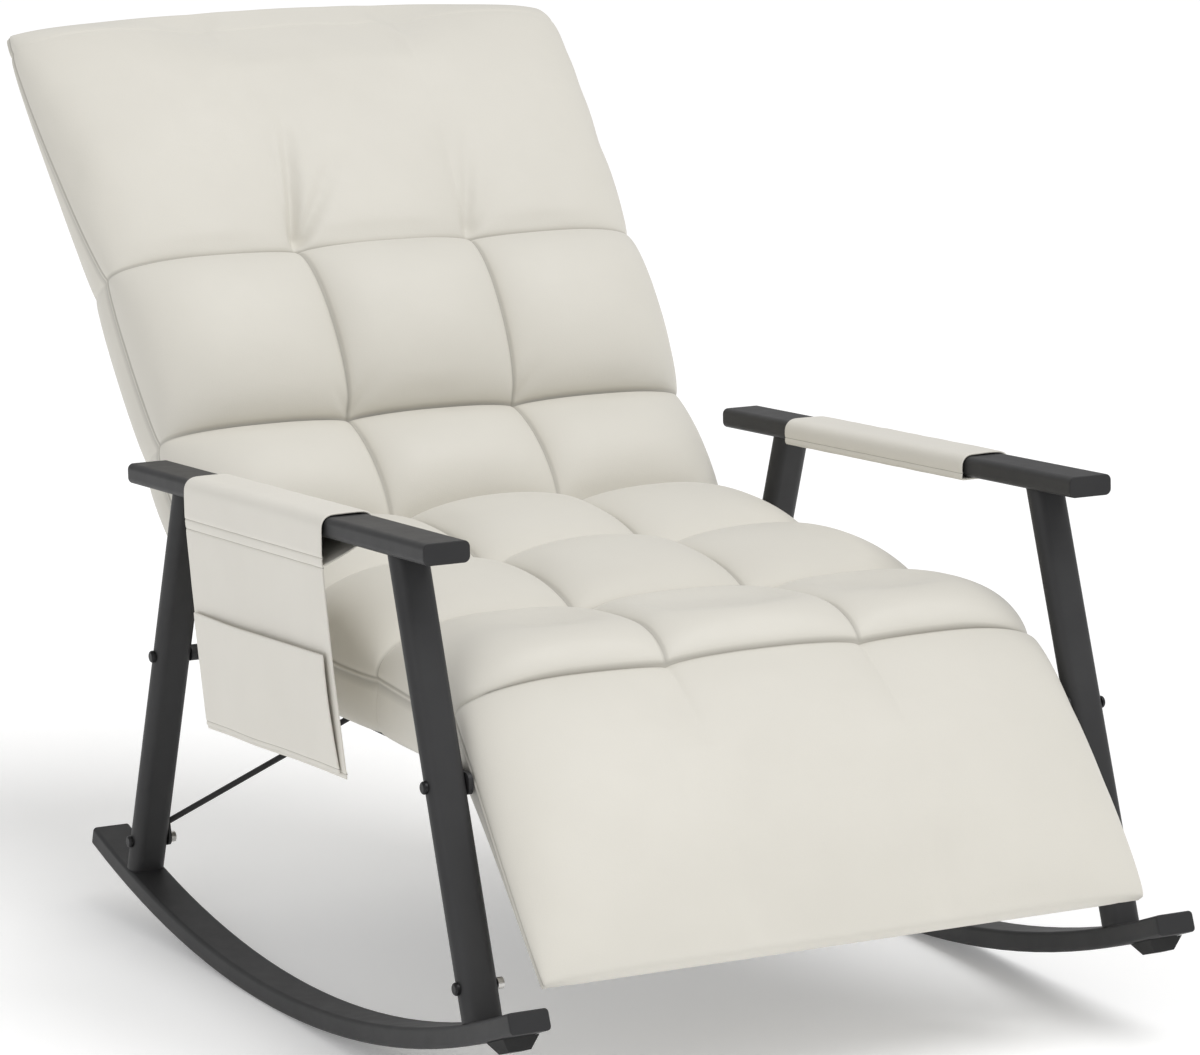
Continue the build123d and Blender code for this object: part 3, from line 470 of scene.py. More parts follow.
def row_ribs(first, middle, last, count, place):
    """Ribs of one quilted row; place gives the base point and lean for a share of the row."""
    ribs = []
    for index in range(count):
        share = crowd(index / count)
        point, lean = place(share)
        ribs.append((point, lean, first.swell(last, middle, share)))
    return ribs


# %% [markdown]
# ### Seat
# Three rows of puffs run from the fold at the back to the knee. The last row rolls over the knee hinge, so
# its ribs turn about that hinge line. Beyond the crease a plain lap goes on under the footrest panel.

# %% Seat ribs
knee = (-372.0, 290.0)
back_hinge = (180.0, 290.0)
seat_base = 290.0
knee_crease_lean = 124.0
lap_lean = 150.0

seat_rear_y = 150.0
seat_rear_crease_y = -48.0
seat_front_crease_y = -238.0
seat_row_ribs = (26, 26, 30)
lap_ribs = 6
frame_recess = 14.0
least_padding = 3.0

seat_fold = Rib(294, 50, 93, 100, 105, 108, 52, 104)
seat_rear_row = Rib(306, 53, 92, 117, 137, 143, 55, 30)
seat_rear_crease = Rib(299, 53, 91, 88, 97, 101, 55, 14)
seat_middle_row = Rib(308, 53, 93, 109, 129, 134, 55, 14)
seat_front_crease = Rib(301, 53, 94, 82, 90, 93, 55, 14)
seat_front_row = Rib(309, 51, 98, 104, 121, 124, 53, 60)
knee_crease = Rib(307, 42, 102, 98, 101, 106, 40, 84, shoulder=2.1)
knee_lap = Rib(290, 34, 102, 82, 74, 86, 32, 70, shoulder=1.9)


def seat_place(first_y, last_y):
    return lambda share: ((mix(first_y, last_y, share), seat_base), 90.0)


def knee_place(share):
    """Along the front row: forward to the knee hinge, then round it."""
    turn_from = 0.66
    if share < turn_from:
        return (mix(seat_front_crease_y, knee[0], share / turn_from), seat_base), 90.0
    return knee, mix(90.0, knee_crease_lean, (share - turn_from) / (1 - turn_from))


def room_for_roll(ribs):
    """Lifts the seat's underside over the roll of the back and over the knee hinge."""
    roll_radius = 113.0
    knee_room = 88.0
    for point, lean, rib in ribs:
        low = frame_recess
        across_roll = abs(back_hinge[0] - point[0])
        if lean == 90.0 and across_roll < roll_radius:
            low = max(low, sqrt(roll_radius ** 2 - across_roll ** 2))
        across_knee = abs(point[0] - knee[0])
        if across_knee < knee_room:
            low = max(low, sqrt(knee_room ** 2 - across_knee ** 2))
        rib.recess = min(low, rib.crease - least_padding)
    return ribs


seat_ribs = row_ribs(seat_fold, seat_rear_row, seat_rear_crease, seat_row_ribs[0],
                     seat_place(seat_rear_y, seat_rear_crease_y))
seat_ribs += row_ribs(seat_rear_crease, seat_middle_row, seat_front_crease, seat_row_ribs[1],
                      seat_place(seat_rear_crease_y, seat_front_crease_y))
seat_ribs += row_ribs(seat_front_crease, seat_front_row, knee_crease, seat_row_ribs[2], knee_place)
for index in range(lap_ribs):
    lap_share = index / (lap_ribs - 1)
    lap_lean_here = mix(knee_crease_lean, lap_lean, lap_share)
    seat_ribs.append((knee, lap_lean_here, knee_crease.swell(knee_lap, knee_lap, lap_share)))
room_for_roll(seat_ribs)
print("seat ribs:", len(seat_ribs))

# %% [markdown]
# ### Back
# The back starts as a roll tucked under the fold, swells into two quilted rows and ends in the plain head
# panel. The head panel has no columns. It stays full up to its brow and then turns over to the seam at its
# top edge, which bows up a little in the middle.

# %% Back ribs
back_lean = 37.5
back_out_lean = 180.0 - back_lean
roll_lean = 146.0
fold_lean = 105.0
back_run = (sin(radians(back_lean)), cos(radians(back_lean)))

roll_end = Rib(288, 78, 95, 100, 102, 103, 30, 46)
back_fold = Rib(290, 80, 95, 102, 107, 109, 36, 46)
lumbar_row = Rib(300, 45, 95, 94, 113, 118, 40, 14)
lumbar_crease = Rib(295, 41, 94, 54, 66, 66, 49, 13)
middle_row = Rib(302, 40, 96, 94, 112, 120, 48, 13)
head_crease = Rib(299, 39, 99, 62, 72, 77, 47, 13)
head_row = Rib(316, 24, 102, 67, 67, 67, 32, 13, tuck=8)
head_brow = Rib(316, 8, 104, 36, 36, 36, 16, 4, tuck=8, bow=8)
brow_turn = Rib(315, 4, 104, 28, 28, 28, 12, 0, tuck=4, bow=12)
head_end = Rib(311, 0, 104, 8, 8, 8, 8, -7, bow=14)
lumbar_crease_station = 206.0
head_crease_station = 399.0
head_brow_station = 691.0
head_end_station = 716.5
roll_ribs = 6
back_row_ribs = (30, 28)
head_ribs = 38
brow_ribs = 10


def back_place(first, last):
    def place(share):
        station = mix(first, last, share)
        return (back_hinge[0] + back_run[0] * station, back_hinge[1] + back_run[1] * station), back_out_lean
    return place


def lumbar_place(share):
    station = mix(0.0, lumbar_crease_station, share)
    lean = mix(fold_lean, back_out_lean, share)
    return (back_hinge[0] + back_run[0] * station, back_hinge[1] + back_run[1] * station), lean


back_ribs = []
for index in range(roll_ribs):
    roll_share = index / roll_ribs
    rolled = roll_end.swell(back_fold, back_fold, roll_share)
    back_ribs.append((back_hinge, mix(roll_lean, fold_lean, roll_share), rolled))
back_ribs += row_ribs(back_fold, lumbar_row, lumbar_crease, back_row_ribs[0], lumbar_place)
back_ribs += row_ribs(lumbar_crease, middle_row, head_crease, back_row_ribs[1],
                      back_place(lumbar_crease_station, head_crease_station))
back_ribs += row_ribs(head_crease, head_row, head_brow, head_ribs,
                      back_place(head_crease_station, head_brow_station))
back_ribs += row_ribs(head_brow, brow_turn, head_end, brow_ribs,
                      back_place(head_brow_station, head_end_station))
back_ribs.append((back_place(head_end_station, head_end_station)(0.0)[0], back_out_lean, head_end))
print("back ribs:", len(back_ribs))

# %% [markdown]
# ### Footrest
# The footrest is one plain panel. It leaves the knee crease with a trace of the three columns, which fade
# out in the first third, is fullest in its middle, and closes in a thin edge with a welt all round. Its
# boxing is tucked in behind the welt, so that from the front only the welt shows.

# %% Footrest ribs
foot_lean = 53.0
foot_out_lean = 90.0 + foot_lean
foot_run = (-cos(radians(foot_lean)), -sin(radians(foot_lean)))
foot_length = 253.0
foot_column_fade = 0.3
foot_column_depth = 9.0
foot_end_taper = 26.0
foot_end_rise = 30.0
foot_turn_share = 0.22
foot_recess = 44.0
foot_knee_room = 103.0
foot_rib_count = 46

foot_start = Rib(307, 64, 102, 97, 99, 105, 48, 82, shoulder=2.0)
foot_panel = Rib(315, 79, 103, 119, 119, 119, 36, 44, tuck=20, shoulder=2.1)
foot_end = Rib(313, 84, 104, 92, 92, 92, 9, 74, tuck=6, shoulder=2.1)


def foot_place(share):
    station = foot_length * share
    lean = mix(knee_crease_lean, foot_out_lean, min(1.0, share / foot_turn_share))
    return (knee[0] + foot_run[0] * station, knee[1] + foot_run[1] * station), lean


foot_ribs = row_ribs(foot_start, foot_panel, foot_end, foot_rib_count, foot_place)
foot_ribs.append((foot_place(1.0)[0], foot_out_lean, foot_end))
for point, lean, rib in foot_ribs:
    station = sqrt((point[0] - knee[0]) ** 2 + (point[1] - knee[1]) ** 2)
    clear_of_knee = sqrt(max(0.0, foot_knee_room ** 2 - station ** 2))
    column_trace = max(0.0, 1.0 - station / (foot_length * foot_column_fade)) ** 1.5
    rib.crease = mix(rib.side_crown, rib.middle_crown, 0.5) - foot_column_depth * column_trace
    end_rise = foot_end_rise * max(0.0, 1.0 - (foot_length - station) / foot_end_taper)
    rib.recess = min(max(foot_recess + end_rise, clear_of_knee), rib.crease - least_padding)
print("footrest ribs:", len(foot_ribs))

# %% [markdown]
# ### Filling the cover
# Real quilting is sewn flat and then filled, so the cloth between the seams swells and puckers beside them.
# The same happens here: the sewn lines, the welt and the underside are pinned, and Blender's cloth solver
# blows the rest up a little with pressure. A cap keeps every point near its place, and one level of
# subdivision rounds the result.

# %% Cloth filling
fill_frames = 18
fill_cap = 14.0 * MM
# Strength of the painted shade on the crease lines and on the welt's two grooves
crease_shade_strength = 0.55
groove_shade_strength = 0.6
crease_sharpness = 0.9
free_steps = 6


def sewn_line(index, crease_rows, quilted):
    """Whether a point lies on a sewn crease: a crease row, or a column crease inside the quilted rows."""
    row, column = divmod(index, rib_points)
    half = min(column, rib_points - column)
    in_quilt = quilted[0] <= row <= quilted[1]
    return half <= seam_index and (row in crease_rows or (in_quilt and half == crease_index))


def pinned_points(mesh, ribs, crease_rows, quilted):
    """Points that stay where they are sewn: crease lines, welt, boxing and underside."""
    pinned = []
    last = len(ribs) - 1
    for index in range(len(mesh.vertices)):
        row, column = divmod(index, rib_points)
        half = min(column, rib_points - column)
        if row >= last or row == 0 or half >= seam_index or sewn_line(index, crease_rows, quilted):
            pinned.append(index)
    return pinned


def mark_sewn_lines(mesh, ribs, crease_rows, quilted):
    """Keeps the sewn lines sharp under the subdivision, and marks their points for painted shade in the
    colour.
    """
    welt_grooves = (seam_index + 1, seam_index + 3)
    mark = mesh.attributes.new(seam_mark, "FLOAT", "POINT")
    for index in range(len(mesh.vertices)):
        row, column = divmod(index, rib_points)
        in_groove = min(column, rib_points - column) in welt_grooves and 0 < row < len(ribs) - 1
        if in_groove:
            mark.data[index].value = groove_shade_strength
        elif sewn_line(index, crease_rows, quilted):
            mark.data[index].value = crease_shade_strength
    sharp = mesh.attributes.new("crease_edge", "FLOAT", "EDGE")
    for edge in mesh.edges:
        first, last = edge.vertices
        if sewn_line(first, crease_rows, quilted) and sewn_line(last, crease_rows, quilted):
            sharp.data[edge.index].value = crease_sharpness


def even_out(shifts, rows, rounds=4):
    """Averages the moves of neighbouring points: the solver's small ripples leave and the swelling stays."""
    for number in range(rounds):
        evened = list(shifts)
        for row in range(1, rows - 1):
            for column in range(rib_points):
                index = row * rib_points + column
                left = row * rib_points + (column - 1) % rib_points
                right = row * rib_points + (column + 1) % rib_points
                beside = shifts[left] + shifts[right]
                beside += shifts[index - rib_points]
                beside += shifts[index + rib_points]
                evened[index] = shifts[index] * 0.4 + beside * 0.15
        shifts = evened
    return shifts


def freedom(index, crease_rows, quilted):
    """How freely a point may swell: not at all on a sewn line, fully a few points away from it."""
    row, column = divmod(index, rib_points)
    steps = min(abs(row - crease) for crease in crease_rows)
    if quilted[0] <= row <= quilted[1]:
        steps = min(steps, abs(min(column, rib_points - column) - crease_index))
    return min(1.0, steps / free_steps)


def filled_points(piece, pinned, growth):
    """Runs the cloth solver on a cover and gives back where its points end."""
    sewn = piece.vertex_groups.new(name="sewn")
    sewn.add(pinned, 1.0, "REPLACE")
    cloth = piece.modifiers.new("filling", "CLOTH")
    settings = cloth.settings
    settings.quality = 5
    settings.mass = 0.3
    settings.tension_stiffness = 18
    settings.compression_stiffness = 18
    settings.shear_stiffness = 6
    settings.bending_stiffness = 6.0
    settings.use_pressure = True
    settings.uniform_pressure_force = 2.0
    settings.shrink_min = -growth
    settings.effector_weights.gravity = 0.0
    settings.vertex_group_mass = "sewn"
    cloth.point_cache.frame_start = 1
    cloth.point_cache.frame_end = fill_frames
    for number in range(1, fill_frames + 1):
        bpy.context.scene.frame_set(number)
    depsgraph = bpy.context.evaluated_depsgraph_get()
    moved = [vertex.co.copy() for vertex in piece.evaluated_get(depsgraph).data.vertices]
    piece.modifiers.remove(cloth)
    piece.vertex_groups.clear()
    bpy.context.scene.frame_set(1)
    return moved


def swell_cover(piece, ribs, crease_rows, quilted, growth):
    """Moves a cover's points to where the filling pushes them, evened out and capped."""
    rest = [vertex.co.copy() for vertex in piece.data.vertices]
    moved = filled_points(piece, pinned_points(piece.data, ribs, crease_rows, quilted), growth)
    shifts = even_out([end - start for start, end in zip(rest, moved)], len(ribs))
    largest = 0.0
    for vertex, start, shift in zip(piece.data.vertices, rest, shifts):
        shift = shift * freedom(vertex.index, crease_rows, quilted)
        largest = max(largest, shift.length)
        if shift.length > fill_cap:
            shift *= fill_cap / shift.length
        vertex.co = start + shift
    print(piece.name, "largest move in mm:", round(largest / MM, 1))


def fill_cushion(name, ribs, crease_rows, quilted, growth):
    """A padded piece through its ribs; growth is the give of the cloth."""
    mesh = cushion_mesh(name, ribs)
    mark_sewn_lines(mesh, ribs, crease_rows, quilted)
    piece = bpy.data.objects.new(name, mesh)
    bpy.context.collection.objects.link(piece)
    swell_cover(piece, ribs, crease_rows, quilted, growth)
    mesh.shade_smooth()
    rounding = piece.modifiers.new("rounding", "SUBSURF")
    rounding.levels = 1
    rounding.render_levels = 1
    mesh.materials.append(cushion_leather)
    return piece


seat_creases = tuple(sum(seat_row_ribs[:row]) for row in range(4))
back_creases = tuple(roll_ribs + sum(back_row_ribs[:row]) for row in range(3))
seat = fill_cushion("quilted_seat", seat_ribs, seat_creases, (seat_creases[0], seat_creases[-1]), 0.008)
back = fill_cushion("quilted_back", back_ribs, back_creases, (back_creases[0], back_creases[-1]), 0.006)
footrest = fill_cushion("footrest_panel", foot_ribs, (0,), (0, 0), 0.003)
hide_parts("seat_cushion")
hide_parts("back_cushion")
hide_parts("footrest_cushion")

# %% [markdown]
# ### Puckers
# At the corners of the quilting the thread pulls short folds into the cover. Each one is a line on the back:
# points near it are pressed in, most near the sewn end, with a soft bell-shaped profile.

# %% Puckers
pucker_least_height = 40.0


def press_puckers(mesh, origin, lean, puckers):
    """Presses folds into a cover, each from a sewn point (x, place along the run) and fading out."""
    run = along_run(lean)
    out = place_on((0, 0), lean, 0, 1.0).normalized()
    base = Vector((0, *origin)) * MM
    for vertex in mesh.vertices:
        from_base = vertex.co - base
        if from_base.dot(out) < pucker_least_height * MM:
            continue
        here = Vector((vertex.co.x, from_base.dot(run))) / MM
        for start, end, depth, width in puckers:
            fold = Vector(end) - Vector(start)
            offset = here - Vector(start)
            share = offset.dot(fold) / fold.length_squared
            if 0.0 < share < 1.0:
                beside = (offset - fold * share).length
                press = depth * (1.0 - share) * min(1.0, share / 0.1) * exp(-(beside / width) ** 2)
                vertex.co -= out * (press * MM)


back_puckers = [
    ((-98, 401), (-72, 566), 16.0, 5.0),
    ((-96, 403), (-18, 520), 13.0, 5.0),
    ((99, 401), (136, 540), 7.0, 5.5),
    ((101, 403), (168, 496), 4.0, 6.0),
    ((-94, 208), (-62, 244), 7.0, 5.0),
    ((94, 208), (126, 240), 7.0, 5.0),
    ((-94, 208), (-120, 236), 5.0, 5.0),
]
press_puckers(back.data, back_hinge, back_out_lean, back_puckers)
print("puckers pressed:", len(back_puckers))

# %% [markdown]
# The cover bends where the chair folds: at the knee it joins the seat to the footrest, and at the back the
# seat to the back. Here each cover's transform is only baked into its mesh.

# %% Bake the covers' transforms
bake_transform(seat)
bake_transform(footrest)
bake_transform(back)

# %% [markdown]
# ## Arm sleeves and pocket
# The left sleeve is one sheet of the same coated cloth. It starts at the seams below the arm, comes up
# under the arm and inside it, goes over the top and hangs down outside as a flap, so the two seams close a
# loop round the arm. A second sheet is sewn on as a pocket. A grid is laid out along the arm and along the
# path that the cloth takes round it; more of its rows stand close to the seams, so that they can be pressed
# in as narrow grooves. Solidify gives the cloth its thickness afterwards.

# %% Arm directions
arm_low, arm_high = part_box("left_armrest")
arm_slope = 35.0 / 655.0
arm_run = Vector((0, 1, -arm_slope)).normalized()
arm_up = Vector((0, arm_slope, 1)).normalized()
arm_start = Vector((0, -0.4525, 0.501))
arm_x = 0.337
arm_half_width = 23.0
arm_half_height = 10.0
cloth_side = arm_half_width + 4.0
cloth_top = arm_half_height + 1.9
cloth_corner = 11.0
cloth_thickness = 2.0 * MM
cloth_pitch = 4.0
along_pitch = 6.0
edge_seam = 3.5


def arm_place(along, out, up):
    """Point beside an arm, in mm: along it from its front end, out and up from its middle line."""
    return arm_start + arm_run * (along * MM) + arm_up * (up * MM) + Vector((out * MM, 0, 0))


print("arm runs from", tuple(round(v, 3) for v in arm_low), "to", tuple(round(v, 3) for v in arm_high))

# %% [markdown]
# The cloth's way round the arm is measured as one distance, so that a sheet keeps its real width wherever
# it bends. It goes up the inside, round a quarter circle, across the top, round another quarter circle and
# down the outside.

# %% Cloth path round an arm
def round_arm(distance, first_drop):
    """Where the cloth is after a distance from its inner hem: (out, up), with the outside on the left."""
    side, top, radius = cloth_side, cloth_top, cloth_corner
    legs = (first_drop + top - radius, pi / 2 * radius, 2 * (side - radius), pi / 2 * radius)
    if distance < legs[0]:
        return side, -first_drop + distance
    distance -= legs[0]
    if distance < legs[1]:
        turn = distance / radius
        return side - radius + radius * cos(turn), top - radius + radius * sin(turn)
    distance -= legs[1]
    if distance < legs[2]:
        return side - radius - distance, top
    distance -= legs[2]
    if distance < legs[3]:
        turn = distance / radius
        return -side + radius - radius * sin(turn), top - radius + radius * cos(turn)
    distance -= legs[3]
    return -side, top - radius - distance


def path_length(first_drop, last_drop):
    straight = 2 * (cloth_top - cloth_corner) + 2 * (cloth_side - cloth_corner)
    return first_drop + last_drop + straight + pi * cloth_corner


def spread(length, pitch, seams):
    """Distances along a cloth: evenly spaced, with each seam and two places on both its sides."""
    count = round(length / pitch)
    places = [length * index / count for index in range(count + 1)]
    for seam in seams:
        places = [place for place in places if abs(place - seam) > 2.2]
        places += [seam - 1.6, seam - 0.7, seam, seam + 0.7, seam + 1.6]
    return sorted(place for place in places if 0 <= place <= length)


def pressed(place, seams, depth):
    """How far a seam presses the cloth in at a place."""
    nearest = min((abs(place - seam) for seam in seams), default=9.0)
    return depth * max(0.0, 1.0 - nearest / 1.5)


def cloth_object(name, shape, finish, body, thickness):
    """Object from a bmesh of a flat cloth, with a wall of the cloth's thickness and rounded edges."""
    mesh = bpy.data.meshes.new(name)
    shape.to_mesh(mesh)
    shape.free()
    mesh.shade_smooth()
    mesh.materials.append(finish)
    piece = bpy.data.objects.new(name, mesh)
    bpy.context.collection.objects.link(piece)
    wall = piece.modifiers.new("thickness", "SOLIDIFY")
    wall.thickness = thickness
    wall.offset = 0.0
    rounding = piece.modifiers.new("rounding", "SUBSURF")
    rounding.levels = 1
    rounding.render_levels = 1
    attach(piece, body)
    return piece


def sleeve_cloth(name, along, across, shape_point, across_seams):
    """Sheet from a grid whose points are given by shape_point(along, across), with painted shade on its sewn
    lines.
    """
    shape = bmesh.new()
    bmesh.ops.create_grid(shape, x_segments=len(along) - 1, y_segments=len(across) - 1, size=0.5)
    shape.verts.ensure_lookup_table()
    mark = shape.verts.layers.float.new(seam_mark)
    for index, vertex in enumerate(shape.verts):
        row, column = divmod(index, len(along))
        vertex.co = shape_point(along[column], across[row])
        # Painted shade along the sewn rows, standing in for the shade in their narrow pressed grooves
        vertex[mark] = 1.0 if across[row] in across_seams else 0.0
    bmesh.ops.recalc_face_normals(shape, faces=shape.faces)
    return cloth_object(name, shape, lightened_cover_leather, "rocker_frame", cloth_thickness)


# %% [markdown]
# The flap leans forward as it hangs, and loose waves grow towards its free edge. Two stitched lines run below
# the arm and one along the hem.

# %% Left sleeve and flap
left_start = 200.0
left_end = 510.0
loop_seam = (2.2 - cloth_side, -34.0)
loop_corner = (cloth_side, -8.0)
under_length = sqrt((loop_corner[0] - loop_seam[0]) ** 2 + (loop_corner[1] - loop_seam[1]) ** 2)
flap_drop = 226.0
flap_lean = 40.0
lean_from = 26.0
flap_length = under_length + path_length(-loop_corner[1], flap_drop)
flap_seams = [flap_length - flap_drop + drop for drop in (27.0, 36.0)]
hem_seam = flap_length - 5.0


def flap_slack(along, drop):
    """Loose waves of the hanging flap in mm, growing towards its free edge."""
    share = max(0.0, drop) / flap_drop
    wave = noise.noise(Vector((along * 0.011, drop * 0.006, 3.7)))
    return 3.2 * share * wave + 1.6 * sin(pi * share)


def left_sleeve_point(along, distance):
    """Point of the sleeve: under the arm from the loop's seam, round the arm, and down the flap."""
    if distance < under_length:
        share = distance / under_length
        droop = 2.0 * sin(pi * share)
        return arm_place(along, -arm_x / MM + mix(loop_seam[0], loop_corner[0], share),
                         mix(loop_seam[1], loop_corner[1], share) - droop)
    out, up = round_arm(distance - under_length, -loop_corner[1])
    drop = -up if out < 0 else 0.0
    lean = -flap_lean * max(0.0, drop - lean_from) / (flap_drop - lean_from)
    puckers = 0.35 * noise.noise(Vector((along * 0.05, distance * 0.03, 1.3)))
    if abs(out) >= arm_half_width:
        puckers -= pressed(distance, flap_seams + [hem_seam], 0.9)
        out -= (flap_slack(along, drop) + puckers) if out < 0 else -puckers
    else:
        up += puckers + 0.5 * sin(pi * (out + arm_half_width) / (2 * arm_half_width))
    return arm_place(along + lean, -arm_x / MM + out, up)


left_length = left_end - left_start
left_sleeve = sleeve_cloth(
    "left_sleeve_and_flap", spread(left_length, along_pitch, [edge_seam, left_length - edge_seam]),
    spread(flap_length, cloth_pitch, flap_seams + [hem_seam]),
    lambda along, distance: left_sleeve_point(left_start + along, distance),
    across_seams=flap_seams + [hem_seam],
)
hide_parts("left_arm_sleeve", "side_pocket_flap")
print("left sleeve", round(left_length), "by", round(flap_length), "mm")

# %% [markdown]
# The pocket is a smaller sheet in front of the flap. It follows the flap's waves and stands off most at its
# mouth, so a narrow shadow shows there and along its loose front edge.

# %% Pocket
pocket_mouth = 114.0
pocket_sag = 0.5
pocket_hem = 222.0
pocket_front_in = 8.0
pocket_rear_in = 4.0
pocket_width = left_length - pocket_front_in - pocket_rear_in
pocket_height = pocket_hem - pocket_mouth
pocket_seam = pocket_height - 4.5
pocket_front_gap = 2.6


def pocket_point(along, depth):
    """Point of the pocket: open at its mouth, sewn at its hem and its rear side, loose along its front."""
    across = along / pocket_width
    down = depth / pocket_height
    drop = mix(pocket_mouth + pocket_sag * sin(pi * across), pocket_hem, down)
    lean = -flap_lean * (drop - lean_from) / (flap_drop - lean_from)
    stand = 1.1 + 3.6 * sin(pi * across) ** 0.6 * (1 - down) ** 0.7
    stand += pocket_front_gap * (1 - across) ** 6 * sin(pi * min(1.0, 0.25 + 0.75 * down))
    stand += 0.8 * noise.noise(Vector((along * 0.02, depth * 0.03, 8.1))) * sin(pi * across)
    stand -= pressed(depth, [pocket_seam], 0.7)
    out = cloth_side + 2.0 + flap_slack(left_start + pocket_front_in + along, drop) + stand
    return arm_place(left_start + pocket_front_in + along + lean, -arm_x / MM - out, -drop)


pocket = sleeve_cloth(
    "side_pocket_panel", spread(pocket_width, along_pitch, [edge_seam]),
    spread(pocket_height, cloth_pitch, [pocket_seam]), pocket_point, across_seams=[pocket_seam],
)
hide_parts("side_pocket")
print("pocket", round(pocket_width), "by", round(pocket_height), "mm")

# %% [markdown]
# The right sleeve is sewn shut: one sheet wraps the arm, and a strip below the arm closes it from edge to
# edge. It stands off the tube by a few millimetres at the sides, as the left one does, so both ends show an
# open mouth.

# %% Right sleeve
right_start = 181.0
right_end = 521.0
wrap_drop = cloth_top
wrap_length = path_length(wrap_drop, wrap_drop)
wrap_seams = [6.0, wrap_length - 9.0]
under_reach = cloth_side + 0.4


def right_sleeve_point(along, distance):
    out, up = round_arm(distance, wrap_drop)
    puckers = 0.5 * noise.noise(Vector((along * 0.045, distance * 0.05, 5.9)))
    puckers -= pressed(distance, wrap_seams, 0.8)
    if abs(out) >= arm_half_width:
        out += puckers if out > 0 else -puckers
    else:
        up += puckers
    return arm_place(along, arm_x / MM - out, up)


def underside_point(along, distance):
    """The closing strip below the arm, from one edge of the wrap to the other."""
    ripple = 0.3 * noise.noise(Vector((along * 0.04, distance, 2.2)))
    return arm_place(along, arm_x / MM + under_reach - distance, -wrap_drop - ripple)


right_length = right_end - right_start
right_along = spread(right_length, along_pitch, [edge_seam, right_length - edge_seam])
right_sleeve = sleeve_cloth(
    "right_sleeve_wrap", right_along, spread(wrap_length, cloth_pitch, wrap_seams),
    lambda along, distance: right_sleeve_point(right_start + along, distance),
    across_seams=wrap_seams,
)
right_under = sleeve_cloth(
    "right_sleeve_underside", right_along, spread(2 * under_reach, cloth_pitch, []),
    lambda along, distance: underside_point(right_start + along, distance),
    across_seams=(),
)
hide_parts("right_arm_sleeve")
print("right sleeve", round(right_length), "by", round(wrap_length), "mm round the arm")

# %% [markdown]
# ## Behind the cushions
# The back and the footrest are closed behind with a plain panel of the same cloth, stretched over the
# frame, so it stands on the tubes and hangs a little slack between them. A rim goes up from the panel to
# the cushion and closes the gap at the tubes; on the footrest it slants out to the cushion's welt.
# extrude_edge_only makes it from the panel's outer edges.

# %% Rear panels
panel_steps = 40
panel_slack = 3.0
panel_hem = 2
panel_hem_depth = 0.8


def rear_panel(name, body, hinge, run, lean, ends, half_width, height, rim, flare):
    """Cloth behind a frame, between two stations; its edges rise by the rim and spread by the flare."""
    out = place_on((0, 0), lean, 0, 1.0).normalized()
    down = Vector((0, *run))
    far_end = Vector((0, *hinge)) * MM + down * (ends[1] * MM)
    shape = bmesh.new()
    bmesh.ops.create_grid(shape, x_segments=panel_steps, y_segments=panel_steps, size=0.5)
    shape.verts.ensure_lookup_table()
    mark = shape.verts.layers.float.new(seam_mark)
    for index, vertex in enumerate(shape.verts):
        row, column = divmod(index, panel_steps + 1)
        from_edge = min(row, column, panel_steps - row, panel_steps - column)
        across, along = vertex.co.x, vertex.co.y + 0.5
        slack = panel_slack * sin(pi * along) * cos(pi * across) + noise.noise((across * 5, along * 6, 4.4))
        slack -= panel_hem_depth if from_edge == panel_hem else 0.0
        station = mix(ends[0], ends[1], along)
        point = (hinge[0] + run[0] * station, hinge[1] + run[1] * station)
        vertex.co = place_on(point, lean, across * 2 * half_width, height - slack)
        # Painted shade along the pressed hem line
        vertex[mark] = 0.8 if from_edge == panel_hem else 0.0
    near_start = {vertex for vertex in shape.verts if vertex.index <= panel_steps}
    rim_edges = [edge for edge in shape.edges if edge.is_boundary and not near_start.issuperset(edge.verts)]
    made = bmesh.ops.extrude_edge_only(shape, edges=rim_edges)
    raised = [part for part in made["geom"] if isinstance(part, bmesh.types.BMVert)]
    bmesh.ops.translate(shape, verts=raised, vec=out * (rim * MM))
    for vertex in raised:
        if abs(vertex.co.x) > (half_width - 1.0) * MM:
            vertex.co.x += flare[0] * MM * (1 if vertex.co.x > 0 else -1)
        if (vertex.co - far_end).dot(down) > -1.0 * MM:
            vertex.co += down * (flare[1] * MM)
    bmesh.ops.recalc_face_normals(shape, faces=shape.faces)
    return cloth_object(name, shape, lightened_cover_leather, body, cloth_thickness)


back_panel_ends = (50.0, 704.0)
back_panel_half = 289.5
back_panel_height = -9.8
back_panel_rim = 16.0
back_panel_flare = (0.5, 6.0)
back_panel = rear_panel("back_rear_panel", "backrest", back_hinge, back_run, back_out_lean, back_panel_ends,
                        back_panel_half, back_panel_height, back_panel_rim, back_panel_flare)
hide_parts("back_rear_cover")

foot_panel_ends = (62.0, 226.0)
foot_panel_half = 284.0
foot_panel_height = 20.2
foot_panel_rim = 52.0
foot_panel_flare = (25.0, 23.0)
foot_panel_back = rear_panel("footrest_rear_panel", "footrest", knee, foot_run, foot_out_lean,
                             foot_panel_ends, foot_panel_half, foot_panel_height, foot_panel_rim,
                             foot_panel_flare)
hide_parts("footrest_rear_cover")

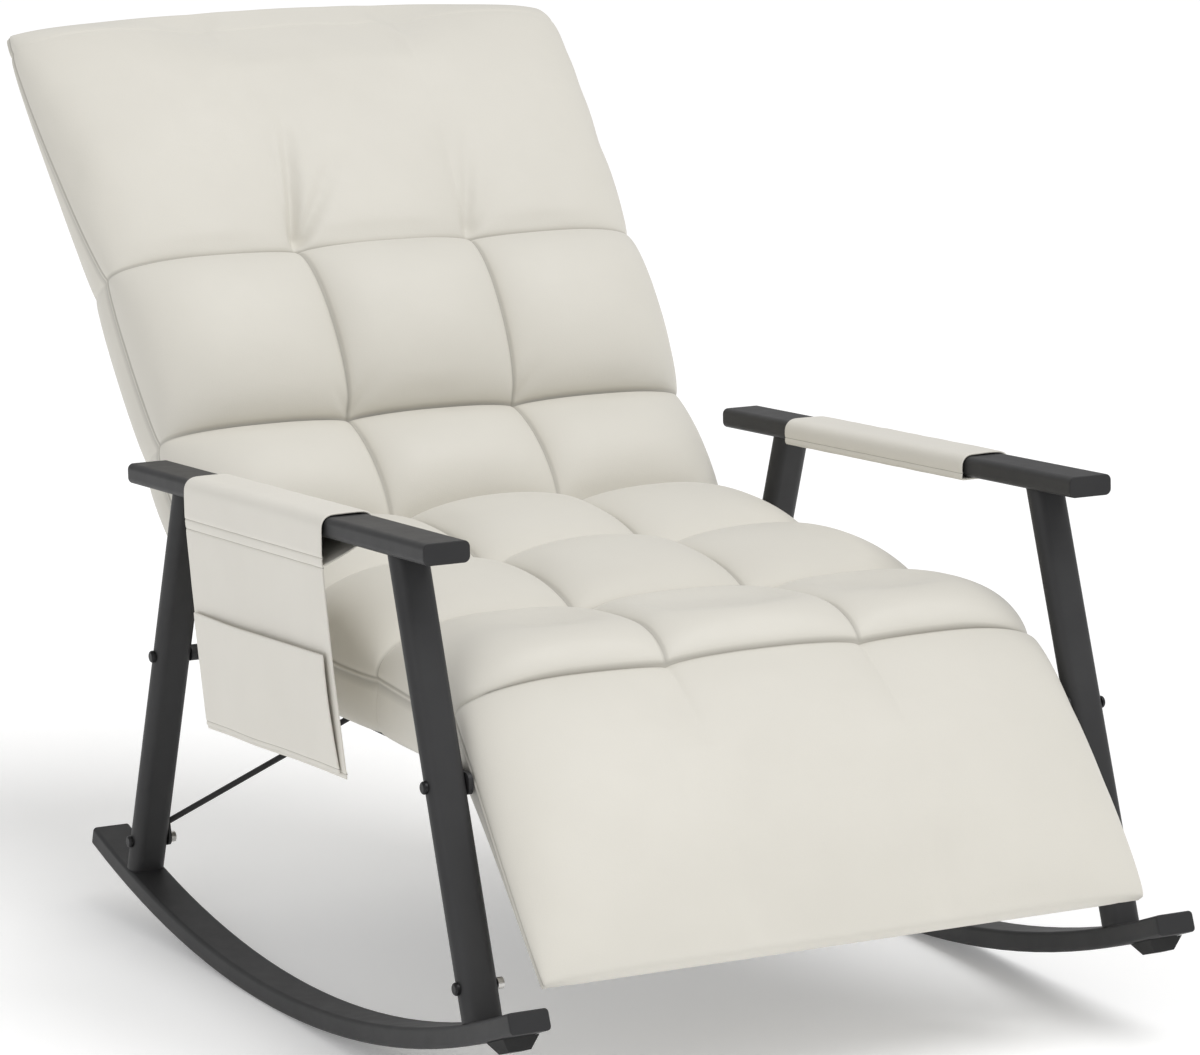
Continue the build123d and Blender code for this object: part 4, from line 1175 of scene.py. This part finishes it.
# %% [markdown]
# ### Webbing
# Woven straps across each frame carry the cushions. A strap is a flat band, so it is one narrow grid that
# rests on the two tubes and sags between them; a simulation would only lose its clean edges.

# %% Webbing straps
strap_width = 50.0
strap_thickness = 2.0


def strap_group(name, body, node, points, lean, half_length, sag):
    """All the straps of one frame: one grid for each point on the frame's face."""
    shape = bmesh.new()
    for point in points:
        band = bmesh.ops.create_grid(shape, x_segments=40, y_segments=5, size=0.5)
        for vertex in band["verts"]:
            across, beside = 2 * vertex.co.x, vertex.co.y * strap_width * MM
            height = strap_thickness / 2 - sag * max(0.0, 1 - across * across) ** 1.5
            vertex.co = place_on(point, lean, across * half_length, height) + along_run(lean) * beside
    bmesh.ops.recalc_face_normals(shape, faces=shape.faces)
    straps = cloth_object(name, shape, webbing_weave, body, strap_thickness * MM)
    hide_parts(node)
    print(name, len(points), "straps")


def run_points(hinge, run, lean, rise, first, pitch, count):
    """Points on a moving frame's face, one for each strap."""
    points = []
    for index in range(count):
        station = first + index * pitch
        points.append((hinge[0] + run[0] * station + cos(radians(lean)) * rise,
                       hinge[1] + run[1] * station + sin(radians(lean)) * rise))
    return points


seat_strap_first_y = -270.0
seat_strap_pitch = 74.0
seat_strap_z = 300.0
seat_strap_points = [(seat_strap_first_y + seat_strap_pitch * index, seat_strap_z) for index in range(6)]
strap_group("seat_straps", "rocker_frame", "seat_webbing", seat_strap_points, lean=90.0, half_length=284.5,
            sag=6.0)
back_strap_points = run_points(back_hinge, back_run, back_out_lean, rise=8.0, first=165.0, pitch=95.0,
                               count=5)
strap_group("back_straps", "backrest", "back_webbing", back_strap_points, back_out_lean, half_length=280.0,
            sag=3.0)
foot_strap_points = run_points(knee, foot_run, foot_out_lean, rise=38.0, first=140.0, pitch=52.0, count=2)
strap_group("footrest_straps", "footrest", "footrest_webbing", foot_strap_points, foot_out_lean,
            half_length=280.0, sag=3.0)

# %% [markdown]
# ## Sizes
# The dressed chair may be a little larger than the imported model, because soft covers swell.
